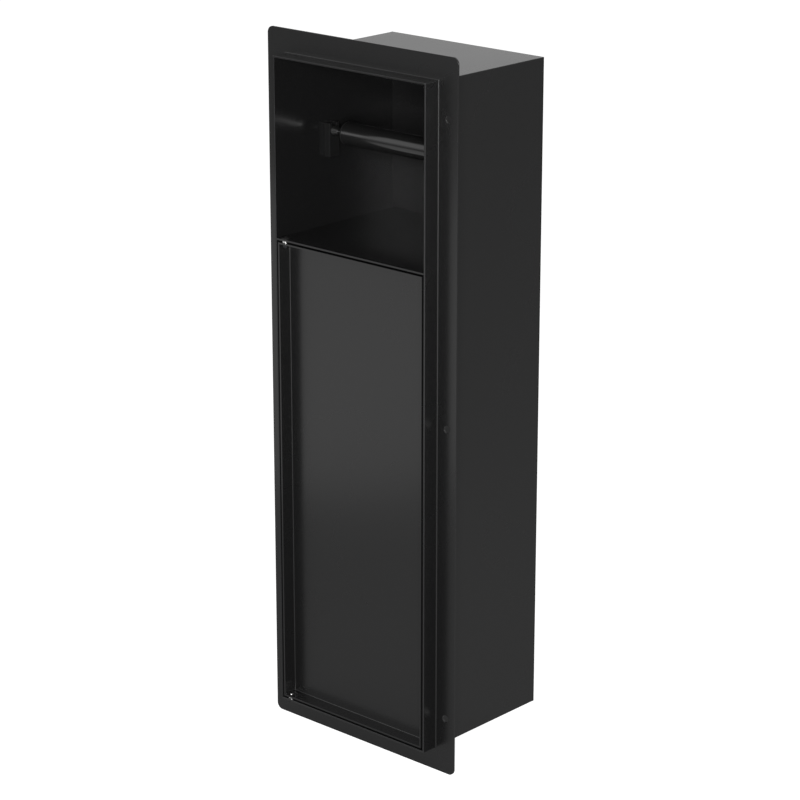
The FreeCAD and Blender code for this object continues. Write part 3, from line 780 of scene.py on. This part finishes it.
class PieceGroup(Group):
    """A Geometry Nodes group that puts out a piece with its finish."""

    KIND = "GeometryNodeTree"
    RESULT = GEOMETRY

    def __init__(self, name: str, inputs: dict[str, float | str]) -> None:
        """Start the group. All of them take a finish."""
        super().__init__(name, {**inputs, "Finish": MATERIAL}, "Geometry")

    def vector(self, **parts: float | Socket) -> Socket:
        """A vector of its X, Y and Z parts."""
        return self.made("ShaderNodeCombineXYZ", parts)

    def dressed(self, geometry: Socket) -> Tree:
        """Make the geometry real, give it its finish and hand over the tree."""
        real = self.made("GeometryNodeRealizeInstances", {"Geometry": geometry})
        inputs = {"Geometry": real, "Material": self.sizes["Finish"]}
        return self.give(self.made("GeometryNodeSetMaterial", inputs))


class Trees:
    """Geometry Nodes trees for what repeats or follows a path."""

    THREAD_STEPS = 20
    THREAD_SIDES = 4
    BEAD_STEPS = 60
    BEAD_SIDES = 14
    BEAD_BLUNTNESS = 6.0

    @staticmethod
    @cache
    def coil() -> Tree:
        """A wire wound about Z: even turns in the middle and closed ones at both ends."""
        inputs = {"Coil Radius": 3 * MM, "Wire Radius": 0.4 * MM, "Length": 30 * MM, "Turns": 14.0}
        graph = PieceGroup("Coil", {**inputs, "Closed Turns": 1.5, "Steps": 28, "Sides": 10})
        sizes, do = graph.sizes, graph.math
        helix = graph.made(
            "GeometryNodeCurveSpiral",
            {
                "Resolution": sizes["Steps"],
                "Rotations": sizes["Turns"],
                "Height": sizes["Length"],
                **dict.fromkeys(("Start Radius", "End Radius"), sizes["Coil Radius"]),
            },
        )
        share = graph.made("GeometryNodeSplineParameter")
        gauge = do("MULTIPLY", sizes["Wire Radius"], 2.0)
        lift = do("MULTIPLY", sizes["Turns"], gauge)
        closed = do("DIVIDE", sizes["Closed Turns"], sizes["Turns"])
        opened = do("SUBTRACT", 1.0, closed)
        low = do("MULTIPLY", do("MINIMUM", share, closed), lift)
        high = do("MULTIPLY", do("MAXIMUM", do("SUBTRACT", share, opened), 0.0), lift)
        ends = do("MULTIPLY", do("MULTIPLY", sizes["Closed Turns"], gauge), 2.0)
        limits = {"From Min": closed, "From Max": opened, "To Max": do("SUBTRACT", sizes["Length"], ends)}
        wound = graph.made("ShaderNodeMapRange", {"Value": share, **limits})
        rise = do("ADD", do("ADD", low, wound), high)
        spot = graph.add("ShaderNodeSeparateXYZ", {0: graph.made("GeometryNodeInputPosition")}).outputs
        place = graph.vector(X=spot[0], Y=spot[1], Z=rise)
        path = graph.made("GeometryNodeSetPosition", {"Geometry": helix, "Position": place})
        ring = {"Resolution": sizes["Sides"], "Radius": sizes["Wire Radius"]}
        wire = graph.made("GeometryNodeCurvePrimitiveCircle", ring)
        skin = {"Curve": path, "Profile Curve": wire, "Fill Caps": True}
        return graph.dressed(graph.made("GeometryNodeCurveToMesh", skin))

    @classmethod
    @cache
    def threaded_row(cls) -> Tree:
        """Copies of one screw in a row, each with a thread wound round its shank."""
        inputs = {"Thread Radius": 1.5 * MM, "Ridge": 0.15 * MM, "Thread Start": 0.0, "Thread Length": 18 * MM}
        row = {"Turns": 30.0, "Count": 2, "Pitch": 30 * MM}
        graph = PieceGroup("Threaded Row", {"Geometry": GEOMETRY, **inputs, **row})
        sizes = graph.sizes
        winding = {
            "Coil Radius": sizes["Thread Radius"],
            "Wire Radius": sizes["Ridge"],
            "Length": sizes["Thread Length"],
            "Turns": sizes["Turns"],
            "Closed Turns": 0.0,
            "Steps": cls.THREAD_STEPS,
            "Sides": cls.THREAD_SIDES,
            "Finish": sizes["Finish"],
        }
        thread = graph.made("GeometryNodeGroup", winding, node_tree=cls.coil())
        start = graph.vector(Z=sizes["Thread Start"])
        placed = graph.made("GeometryNodeTransform", {"Geometry": thread, "Translation": start})
        screw = graph.add("GeometryNodeJoinGeometry")
        for part in (sizes["Geometry"], placed):
            graph.tree.links.new(part, screw.inputs[0])
        offset = graph.vector(Y=sizes["Pitch"])
        points = graph.made("GeometryNodeMeshLine", {"Count": sizes["Count"], "Offset": offset})
        copies = {"Points": points, "Instance": screw.outputs[0]}
        return graph.dressed(graph.made("GeometryNodeInstanceOnPoints", copies))

    @classmethod
    @cache
    def stitches(cls) -> Tree:
        """A seam of short weld beads along X, each with the ripples of its pool."""
        seam = {"Seam Length": 500 * MM, "Count": 6, "Bead Length": 18 * MM, "Bead Radius": 0.8 * MM}
        pool = {"Ripples": 12.0, "Ripple Depth": 0.12, "Unevenness": 0.08, "Seed": 7}
        graph = PieceGroup("Stitch Welds", {**seam, **pool})
        sizes, do = graph.sizes, graph.math
        half = do("MULTIPLY", sizes["Bead Length"], 0.5)
        ends = {"Start": graph.vector(X=do("MULTIPLY", half, -1.0)), "End": graph.vector(X=half)}
        line = graph.made("GeometryNodeCurvePrimitiveLine", ends)
        fine = graph.made("GeometryNodeResampleCurve", {"Curve": line, "Count": cls.BEAD_STEPS})
        share = graph.made("GeometryNodeSplineParameter")
        centred = do("SUBTRACT", do("MULTIPLY", share, 2.0), 1.0)
        fall = do("POWER", do("ABSOLUTE", centred), cls.BEAD_BLUNTNESS)
        blunt = do("SQRT", do("MAXIMUM", do("SUBTRACT", 1.0, fall), 0.0))
        wave = do("SINE", do("MULTIPLY", share, do("MULTIPLY", sizes["Ripples"], math.tau)))
        dip = do("MULTIPLY", do("ADD", wave, 1.0), sizes["Ripple Depth"])
        girth = do("MULTIPLY", blunt, do("SUBTRACT", 1.0, dip))
        swelled = graph.made("GeometryNodeSetCurveRadius", {"Curve": fine, "Radius": girth})
        circle = {"Resolution": cls.BEAD_SIDES, "Radius": sizes["Bead Radius"]}
        ring = graph.made("GeometryNodeCurvePrimitiveCircle", circle)
        skin = {"Curve": swelled, "Profile Curve": ring, "Scale": girth, "Fill Caps": True}
        bead = graph.made("GeometryNodeCurveToMesh", skin)
        pitch = do("DIVIDE", sizes["Seam Length"], sizes["Count"])
        first = do("MULTIPLY", do("SUBTRACT", pitch, sizes["Seam Length"]), 0.5)
        row = {"Start Location": graph.vector(X=first), "Offset": graph.vector(X=pitch)}
        places = graph.made("GeometryNodeMeshLine", {"Count": sizes["Count"], **row})
        limits = {"Min": do("SUBTRACT", 1.0, sizes["Unevenness"]), "Max": 1.0, "Seed": sizes["Seed"]}
        chance = graph.add("FunctionNodeRandomValue", limits, data_type="FLOAT").outputs["Value"]
        copies = {"Points": places, "Instance": bead, "Scale": graph.vector(X=chance, Y=1.0, Z=1.0)}
        return graph.dressed(graph.made("GeometryNodeInstanceOnPoints", copies))

    @staticmethod
    def grow(tree: Tree, finish: Finish, sizes: dict[str, float], base: Mesh | None = None) -> Mesh:
        """Run a tree and keep its result as a plain mesh.

        Args:
            tree: The tree.
            finish: What its result is made of.
            sizes: Its other inputs, by name.
            base: The mesh that the tree starts from, if it needs one.

        Returns:
            The mesh that it makes.
        """
        holder = bpy.data.objects.new(tree.name, base or bpy.data.meshes.new(tree.name))
        modifier = holder.modifiers.new(tree.name, "NODES")
        modifier.node_group = tree
        values = {**sizes, "Finish": finish.material()}
        for item in tree.interface.items_tree:
            if item.in_out == "INPUT" and item.name in values:
                modifier[item.identifier] = values[item.name]
        bpy.context.scene.collection.objects.link(holder)
        mesh = evaluated(holder)
        holder.modifiers.remove(modifier)
        bpy.data.objects.remove(holder)
        return mesh


def install(mesh: Mesh, finish: Finish, body: Body, node: str | None, name: str | None = None) -> None:
    """Put a mesh in the scene as a piece, dress it, tie it to its body and let it stand for its CAD node.

    Args:
        mesh: The mesh, already in place.
        finish: Its finish.
        body: The body that it rides on.
        node: The CAD node that it replaces, if it replaces one.
        name: The piece's name, if it isn't made from the node's.
    """
    piece = hold(mesh, name or f"{node}_finished")
    mesh.materials.clear()
    mesh.materials.append(finish.material())
    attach(piece, body.value)
    if node:
        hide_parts(node)
    log.info("%s: %d faces, %s, on %s", piece.name, len(mesh.polygons), finish.name, body.value)


def soften(
    node: str, finish: Finish, body: Body, radius: float, welded_to: Iterable[str] = (), cut: bool = False
) -> None:
    """Install a copy of a CAD node with rounded edges; see MeshWork.softened."""
    install(MeshWork.softened(node, radius, welded_to, cut), finish, body, node)


def turn(
    node: str,
    finish: Finish,
    body: Body,
    axis: Axis,
    profile: Profile,
    radius: float,
    segments: int = 64,
    sign: int = 1,
) -> None:
    """Install a turned piece in a CAD node's place, mirrored if the sign is -1; see MeshWork.turned."""
    placed = [(sign * along, distance) for along, distance in profile]
    install(MeshWork.turned(axis, middle(node), placed, radius, segments), finish, body, node)


@dataclass
class WallBox:
    """The welded steel box, its divider and its flange."""

    rim_radius: float = 0.4 * MM
    hole_radius: float = 0.1 * MM
    bead_radius: float = 0.8 * MM
    bead_length: float = 16 * MM
    bead_pitch: float = 75 * MM
    ripple: float = 1.3 * MM

    SHEETS = ("left_side_wall", "right_side_wall", "top_wall", "bottom_wall", "back_wall", "divider_shelf")
    # The niche's sheets take the paler copies of the coat, which paint light into the niche.
    NICHE_PAINTED_LIGHT_COATS: ClassVar[dict[str, Finish]] = {
        "left_side_wall": SIDE_WALL_PAINTED_LIGHT_COAT,
        "back_wall": BACK_WALL_PAINTED_LIGHT_COAT,
        "divider_shelf": SHELF_PAINTED_LIGHT_COAT,
    }

    def sheets(self) -> None:
        """Round the free edges of the six sheets and leave their welded corners closed."""
        for node in self.SHEETS:
            others = [other for other in self.SHEETS if other != node]
            soften(node, self.NICHE_PAINTED_LIGHT_COATS.get(node, BLACK_COAT), Body.CABINET, self.rim_radius, others, cut=True)

    def flange(self) -> None:
        """Round the flange's outline and its holes."""
        soften("mounting_flange", BLACK_COAT, Body.CABINET, self.hole_radius, self.SHEETS[:4])

    def seam(self, start: Vector, end: Vector, seed: int) -> Mesh:
        """One side's row of stitch welds.

        Args:
            start: Where the seam starts.
            end: Where it ends.
            seed: What its unevenness starts from.

        Returns:
            The beads' mesh, in place.
        """
        length = (end - start).length
        sizes = {
            "Seam Length": length,
            "Count": max(2, round(length / self.bead_pitch)),
            "Bead Length": self.bead_length,
            "Bead Radius": self.bead_radius,
            "Ripples": self.bead_length / self.ripple,
            "Seed": seed,
        }
        mesh = Trees.grow(Trees.stitches(), BLACK_COAT, sizes)
        heading = Vector((1, 0, 0)).rotation_difference((end - start).normalized()).to_matrix().to_4x4()
        mesh.transform(Matrix.Translation((start + end) / 2) @ heading)
        return mesh

    def welds(self) -> None:
        """Stitch welds between the flange's rear face and the box, all the way round."""
        low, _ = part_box("left_side_wall")
        _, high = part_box("right_side_wall")
        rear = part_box("mounting_flange")[1].y
        outline = ((low.x, low.z), (high.x, low.z), (high.x, high.z), (low.x, high.z))
        corners = [Vector((across, rear, up)) for across, up in outline]
        work = bmesh.new()
        for seed, (start, end) in enumerate(zip(corners, corners[1:] + corners[:1])):
            mesh = self.seam(start, end, seed)
            work.from_mesh(mesh)
            bpy.data.meshes.remove(mesh)
        bmesh.ops.recalc_face_normals(work, faces=work.faces)
        install(MeshWork.to_mesh(work), BLACK_COAT, Body.CABINET, None, "flange_stitch_welds")

    def build(self) -> None:
        """Make the box."""
        self.sheets()
        self.flange()
        self.welds()


@dataclass
class PaperRoller:
    """The roller across the niche: brackets, rod, collars, tube and end caps."""

    bracket_radius: float = 0.15 * MM
    rod_radius: float = 2.5 * MM
    rod_point: float = 0.8 * MM
    collar_nose: float = 3.1 * MM
    collar_edge: float = 0.35 * MM
    tube_wall: float = 1.2 * MM
    cap_rim: float = 2.0 * MM
    cap_bevel: float = 0.8 * MM
    cap_gap: float = 0.05 * MM
    cap_dish: float = 0.7 * MM
    cap_hub: float = 4.6 * MM
    bore_fit: float = 0.05 * MM
    soft: float = 0.12 * MM

    def brackets(self) -> None:
        """The two slotted channels on the side walls."""
        for side in ("left", "right"):
            walls = [f"{side}_side_wall"]
            soften(f"roller_bracket_{side}", BRACKET_COAT, Body.CABINET, self.bracket_radius, walls)

    def rod(self) -> None:
        """The plain rod with pointed ends."""
        start, end, _ = extent("roller_rod", Axis.X)
        blunt = self.rod_radius - self.rod_point
        profile = [(start, 0.0), (start, blunt), (start + self.rod_point, self.rod_radius)]
        profile += [(end - self.rod_point, self.rod_radius), (end, blunt), (end, 0.0)]
        turn("roller_rod", ROLLER_COAT, Body.ROD, Axis.X, profile, self.soft, segments=48)

    def tube(self) -> None:
        """The thin tube that the paper turns on."""
        start, end, outside = extent("roller_tube", Axis.X)
        inside = outside - self.tube_wall
        profile = stairs(inside, start, outside, end, inside)
        turn("roller_tube", ROLLER_COAT, Body.ROLLER, Axis.X, profile, self.soft, segments=96)

    def collar(self, side: str, sign: int) -> None:
        """One tapered collar, wide towards its bracket."""
        node = f"rod_collar_{side}"
        start, end, outside = extent(node, Axis.X)
        profile = [(start, self.rod_radius), (start, self.collar_nose), (end, outside), (end, self.rod_radius)]
        turn(node, ROLLER_COAT, Body.ROD, Axis.X, profile, self.collar_edge, sign=sign)

    def cap(self, side: str, sign: int) -> None:
        """One end cap: a plug in the tube, and a rim with a dished face round its hub."""
        node = f"roller_cap_{side}"
        start, end, outside = extent(node, Axis.X)
        plug = outside - self.tube_wall - self.cap_gap
        bore = self.rod_radius + self.bore_fit
        rim, bevel, dish = end - self.cap_rim, self.cap_bevel, end - self.cap_dish
        profile = [(start, bore), (start, plug), (rim, plug), (rim, outside), (end - bevel, outside)]
        profile += [(end, outside - bevel), (end, outside - 2 * bevel), (dish, outside - 3 * bevel)]
        profile += [(dish, self.cap_hub), (end, self.cap_hub - self.cap_dish / 2), (end, bore)]
        turn(node, BLACK_PLASTIC, Body.ROLLER, Axis.X, profile, self.soft, sign=sign)

    def build(self) -> None:
        """Make the roller."""
        self.brackets()
        self.rod()
        self.tube()
        for side, sign in (("left", -1), ("right", 1)):
            self.collar(side, sign)
            self.cap(side, sign)


@dataclass
class TileDoor:
    """The door tray and what it hangs on."""

    edge_radius: float = 0.22 * MM
    plate_radius: float = 0.2 * MM
    pin_radius: float = 1.5 * MM
    pin_dome: float = 0.6 * MM
    pin_fit: float = 0.05 * MM
    thread_ridge: float = 0.12 * MM
    thread_pitch: float = 0.5 * MM
    washer_edge: float = 0.3 * MM
    bush_edge: float = 0.2 * MM
    sleeve_share: float = 3.0 / 3.7
    slot_width: float = 0.6 * MM

    def sheets(self) -> None:
        """The shallow pan with rounded edges, and the plate on its back that the magnet holds."""
        soften("door_tray", TRAY_COAT, Body.DOOR, self.edge_radius)
        soften("strike_plate", ZINC, Body.DOOR, self.plate_radius, ["door_tray"])

    def pin(self) -> None:
        """The fixed lower pin with a domed end inside the tray."""
        start, end, _ = extent("pivot_pin_bottom", Axis.Z)
        profile = [(start, 0.0), (start, self.pin_radius), (end - self.pin_dome, self.pin_radius)]
        profile += [(end, self.pin_radius - self.pin_dome), (end, 0.0)]
        turn("pivot_pin_bottom", POLISHED, Body.DOOR, Axis.Z, profile, self.pin_dome / 2, segments=48)

    def screw(self) -> None:
        """The upper pin: threaded below, plain above, with a driver's slot in its lower end."""
        node = "pivot_screw_top"
        start, end, _ = extent(node, Axis.Z)
        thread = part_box("pivot_washer_top")[0].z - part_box(node)[0].z
        core = self.pin_radius - self.thread_ridge
        profile = stairs(0.0, start, core, start + thread, self.pin_radius, end, 0.0)
        base = MeshWork.turned(Axis.Z, Vector(), profile, self.bush_edge, segments=40)
        length = thread - 2 * self.slot_width
        sizes = {
            "Thread Radius": core,
            "Ridge": self.thread_ridge,
            "Thread Start": start + self.slot_width,
            "Thread Length": length,
            "Turns": length / self.thread_pitch,
            "Count": 1,
        }
        shank = MeshWork.slotted(base, start, self.slot_width, self.pin_radius)
        mesh = Trees.grow(Trees.threaded_row(), BLACK_ZINC, sizes, shank)
        mesh.transform(Matrix.Translation(middle(node)))
        install(mesh, BLACK_ZINC, Body.DOOR, node)

    def nut(self) -> None:
        """The nut that locks the upper pin."""
        node = "pivot_nut_top"
        low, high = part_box(node)
        centre = middle(node)
        centre.z = low.z
        nut = HexNut(high.y - low.y, self.pin_radius, high.z - low.z)
        install(nut.mesh([centre]), BLACK_ZINC, Body.DOOR, node)

    def washers(self) -> None:
        """The bright washers in the gaps."""
        for node in ("pivot_washer_bottom", "pivot_washer_top"):
            start, end, outside = extent(node, Axis.Z)
            profile = stairs(self.pin_radius, start, outside, end, self.pin_radius)
            turn(node, POLISHED, Body.DOOR, Axis.Z, profile, self.washer_edge)

    def bush(self, node: str, sheet: str, sign: int) -> None:
        """One plastic bush that a pin turns in, with its collar on the far side of the sheet."""
        start, end, collar = extent(node, Axis.Z)
        low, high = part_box(sheet)
        step = end - (high.z - low.z)
        sleeve = collar * self.sleeve_share
        bore = self.pin_radius + self.pin_fit
        profile = stairs(bore, start, collar, step, sleeve, end, bore)
        turn(node, BLACK_PLASTIC, Body.CABINET, Axis.Z, profile, self.bush_edge, sign=sign)

    def build(self) -> None:
        """Make the door."""
        self.sheets()
        self.pin()
        self.screw()
        self.nut()
        self.washers()
        self.bush("pivot_bush_bottom", "bottom_wall", 1)
        self.bush("pivot_bush_top", "divider_shelf", -1)


@dataclass
class TouchLatch:
    """The sprung magnetic latch on its bracket, behind the door's free edge."""

    sheet_radius: float = 0.3 * MM
    housing_radius: float = 0.25 * MM
    soft: float = 0.25 * MM
    stem_radius: float = 3.5 * MM
    stem_length: float = 9.7 * MM
    magnet_radius: float = 3.0 * MM
    magnet_length: float = 3.0 * MM
    recess_radius: float = 3.5 * MM
    recess_depth: float = 6.0 * MM
    bezel_fit: float = 0.1 * MM
    bezel_rim: float = 1.2 * MM
    bezel_thread: float = 5.1 * MM
    wire_radius: float = 0.4 * MM
    wire_sides: int = 10
    spring_turns: float = 15.0
    spring_steps: int = 28
    closed_turns: float = 1.75
    screw_radius: float = 1.5 * MM
    head_height: float = 2.0 * MM
    crown_share: float = 0.6
    slot_width: float = 0.6 * MM
    thread_ridge: float = 0.14 * MM
    thread_pitch: float = 0.5 * MM
    nut_flats: float = 5.5 * MM

    def bracket(self) -> None:
        """The welded angle and its shelf."""
        soften("latch_bracket", BLACK_COAT, Body.CABINET, self.sheet_radius, ["right_side_wall"])

    def housing(self) -> None:
        """The moulded block that guides the plunger."""
        touching = ["latch_bezel", "latch_bracket"]
        soften("latch_housing", GREY_PLASTIC, Body.CABINET, self.housing_radius, touching)

    def bezel(self) -> None:
        """The ring in the housing's mouth."""
        start, end, outside = extent("latch_bezel", Axis.Y)
        bore = self.stem_radius + self.bezel_fit
        profile = stairs(bore, start, outside, start + self.bezel_rim, self.bezel_thread, end, bore)
        turn("latch_bezel", GREY_PLASTIC, Body.CABINET, Axis.Y, profile, self.soft)

    def plunger(self) -> None:
        """The stem with its magnet's seat, and the guide with the spring's recess."""
        start, end, guide = extent("latch_plunger", Axis.Y)
        seat = (0.0, start + self.magnet_length, self.magnet_radius)
        stem = (start, self.stem_radius, start + self.stem_length, guide)
        recess = (end, self.recess_radius, end - self.recess_depth, 0.0)
        profile = stairs(*seat, *stem, *recess)
        turn("latch_plunger", GREY_PLASTIC, Body.PLUNGER, Axis.Y, profile, self.soft)

    def magnet(self) -> None:
        """The disc magnet in the plunger's tip."""
        start, end, _ = extent("latch_magnet", Axis.Y)
        profile = stairs(0.0, start, self.magnet_radius, end, 0.0)
        turn("latch_magnet", NICKEL, Body.PLUNGER, Axis.Y, profile, self.soft)

    def spring(self) -> None:
        """The wound spring at its pressed length."""
        node = "latch_spring"
        start, end, outside = extent(node, Axis.Y)
        sizes = {
            "Coil Radius": outside - self.wire_radius,
            "Wire Radius": self.wire_radius,
            "Length": end - start - 2 * self.wire_radius,
            "Turns": self.spring_turns,
            "Closed Turns": self.closed_turns,
            "Steps": self.spring_steps,
            "Sides": self.wire_sides,
        }
        mesh = Trees.grow(Trees.coil(), ZINC, sizes)
        lowest = Matrix.Translation((0, 0, start + self.wire_radius))
        mesh.transform(Matrix.Translation(middle(node)) @ Axis.Y.value @ lowest)
        mesh.shade_smooth()
        install(mesh, ZINC, Body.CABINET, node)

    def screws(self) -> None:
        """The two pan-headed screws that hold the housing."""
        low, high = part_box("latch_screws")
        head = (high.x - low.x) / 2
        core = self.screw_radius - self.thread_ridge
        tip, under = low.z - high.z, -self.head_height
        profile = [(tip, 0.0), (tip, core - self.thread_ridge), (tip + self.screw_radius / 2, core)]
        profile += [(under, core), (under, head), (under / 3, head), (0.0, head * self.crown_share), (0.0, 0.0)]
        base = MeshWork.turned(Axis.Z, Vector(), profile, self.screw_radius / 3, segments=48)
        length = under - tip - self.screw_radius
        sizes = {
            "Thread Radius": core,
            "Ridge": self.thread_ridge,
            "Thread Start": tip + self.screw_radius / 2,
            "Thread Length": length,
            "Turns": length / self.thread_pitch,
            "Count": 2,
            "Pitch": high.y - low.y - 2 * head,
        }
        shank = MeshWork.slotted(base, 0.0, self.slot_width, head)
        mesh = Trees.grow(Trees.threaded_row(), ZINC, sizes, shank)
        mesh.transform(Matrix.Translation(((low.x + high.x) / 2, low.y + head, high.z)))
        install(mesh, ZINC, Body.CABINET, "latch_screws")

    def nuts(self) -> None:
        """The nuts under the bracket's shelf."""
        low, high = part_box("latch_nuts")
        half = self.nut_flats / 2
        centres = [Vector(((low.x + high.x) / 2, place, low.z)) for place in (low.y + half, high.y - half)]
        nut = HexNut(self.nut_flats, self.screw_radius, high.z - low.z)
        install(nut.mesh(centres), ZINC, Body.CABINET, "latch_nuts")

    def build(self) -> None:
        """Make the latch."""
        self.bracket()
        self.housing()
        self.bezel()
        self.plunger()
        self.magnet()
        self.spring()
        self.screws()
        self.nuts()


@dataclass
class DoorStops:
    """The two tabs that take the push on the closed door, with their pads."""

    tab_radius: float = 0.3 * MM
    dome: float = 0.25 * MM
    flat_share: float = 0.45
    pad_edge: float = 0.5 * MM

    def pad(self, node: str) -> None:
        """One rubber pad with a low dome."""
        start, end, outside = extent(node, Axis.Y)
        brow = start + self.dome
        profile = [(start, 0.0), (start, outside * self.flat_share), (brow, outside - self.pad_edge)]
        profile += [(brow + self.pad_edge, outside), (end, outside), (end, 0.0)]
        turn(node, RUBBER, Body.CABINET, Axis.Y, profile, self.pad_edge)

    def build(self) -> None:
        """Make the stops."""
        for level in ("upper", "lower"):
            soften(f"stop_tab_{level}", BLACK_COAT, Body.CABINET, self.tab_radius, ["right_side_wall"])
            self.pad(f"stop_pad_{level}")


def around(azimuth: float, elevation: float, distance: float) -> Vector:
    """A place round the object.

    Args:
        azimuth: Degrees to the right of straight ahead.
        elevation: Degrees above the horizon.
        distance: How far off it is.

    Returns:
        The place.
    """
    bearing, rise = math.radians(azimuth), math.radians(elevation)
    level = distance * math.cos(rise)
    return Vector((level * math.sin(bearing), -level * math.cos(bearing), distance * math.sin(rise)))


def facing(place: Vector, aim: Vector) -> Matrix:
    """Where a light or a camera stands that looks along an aim."""
    return Matrix.Translation(place) @ aim.to_track_quat("-Z", "Y").to_matrix().to_4x4()


@dataclass(frozen=True)
class SoftLight:
    """An area light aimed at the object, by the brightness of its face."""

    name: str
    place: Vector
    width: float
    height: float
    brightness: float
    round_face: bool = False
    spared: str = ""

    def build(self) -> None:
        """Put the light in the scene."""
        data = bpy.data.lights.new(self.name, "AREA")
        data.shape = "ELLIPSE" if self.round_face else "RECTANGLE"
        data.size = self.width
        data.size_y = self.height
        area = self.width * self.height * (math.pi / 4 if self.round_face else 1.0)
        data.energy = self.brightness * math.pi * area
        light = bpy.data.objects.new(self.name, data)
        light.visible_camera = False
        light.matrix_world = facing(self.place, -self.place)
        bpy.context.scene.collection.objects.link(light)
        if self.spared:
            shaded = bpy.data.collections.new(f"{self.name} flag")
            shaded.objects.link(bpy.data.objects[self.spared])
            shaded.collection_objects[0].light_linking.link_state = "EXCLUDE"
            light.light_linking.receiver_collection = shaded


@dataclass
class Studio:
    """The floor, the light and the camera."""

    floor_drop: float = 0.5 * MM
    floor_half: float = 12.0
    floor_colour: Colour = (0.5, 0.5, 0.5)
    floor_lift: float = 0.9
    floor_mirror_lift: float = 0.055
    ambient: float = 0.3
    mirrored: float = 0.78
    azimuth: float = 42.36
    elevation: float = 18.08
    distance: float = 2.4897
    target: tuple[float, float, float] = (-0.0187, 0.0687, -0.0161)
    lens: float = 124.73
    sensor: float = 36.0
    nearest: float = 0.05
    farthest: float = 60.0

    LIGHTS = (
        SoftLight("Key", around(42, 13, 3.2), 0.95, 0.95, brightness=47.0, spared="top_wall_finished"),
        SoftLight("Fill", around(-42, 22, 3.4), 2.6, 1.5, brightness=0.55),
        SoftLight("Near left", Vector((-0.26, -0.28, -0.05)), 0.50, 0.33, brightness=0.46, round_face=True),
    )

    def world(self) -> None:
        """A white surround for the eye and for reflections, at a lower level for plain light."""
        world = bpy.data.worlds.new("Studio")
        graph = fresh_graph(world)
        direct, mirrored = graph.rays()
        plain = graph.between(mirrored, self.ambient, self.mirrored)
        white = {"Strength": graph.between(direct, plain, 1.0), "Color": (1, 1, 1, 1)}
        graph.add("ShaderNodeOutputWorld", {"Surface": graph.made("ShaderNodeBackground", white)})
        bpy.context.scene.world = world

    def floor(self) -> None:
        """A pale floor just under the flange."""
        material = bpy.data.materials.new("Pale floor")
        graph = fresh_graph(material)
        direct, mirrored = graph.rays()
        seen = graph.math("MULTIPLY", direct, self.floor_lift)
        strength = graph.math("MULTIPLY_ADD", mirrored, self.floor_mirror_lift, seen)
        matt = graph.made("ShaderNodeBsdfDiffuse", {"Color": (*self.floor_colour, 1.0)})
        glow = graph.made("ShaderNodeEmission", {"Strength": strength})
        both = graph.made("ShaderNodeAddShader", {0: matt, 1: glow})
        graph.add("ShaderNodeOutputMaterial", {"Surface": both})
        work = bmesh.new()
        bmesh.ops.create_grid(work, x_segments=1, y_segments=1, size=self.floor_half)
        mesh = bpy.data.meshes.new("floor")
        work.to_mesh(mesh)
        work.free()
        mesh.transform(Matrix.Translation((0, 0, cad_box[0].z - self.floor_drop)))
        mesh.materials.append(material)
        hold(mesh, "floor")

    def camera(self) -> None:
        """The camera, at the photograph's angle."""
        data = bpy.data.cameras.new("Photo camera")
        data.lens = self.lens
        data.sensor_width = self.sensor
        data.clip_start = self.nearest
        data.clip_end = self.farthest
        camera = bpy.data.objects.new("Photo camera", data)
        back = around(self.azimuth, self.elevation, self.distance)
        camera.matrix_world = facing(Vector(self.target) + back, -back)
        bpy.context.scene.collection.objects.link(camera)
        bpy.context.scene.camera = camera

    def build(self) -> None:
        """Set the stage."""
        bpy.context.scene.view_settings.view_transform = "Standard"
        self.world()
        self.floor()
        for light in self.LIGHTS:
            light.build()
        self.camera()


def main() -> None:
    """Build every sub-assembly, then the studio."""
    logging.basicConfig(level=logging.INFO, format="%(message)s")
    for assembly in (WallBox(), PaperRoller(), TileDoor(), TouchLatch(), DoorStops(), Studio()):
        log.info("%s", type(assembly).__name__)
        assembly.build()


if __name__ == "__main__":
    main()
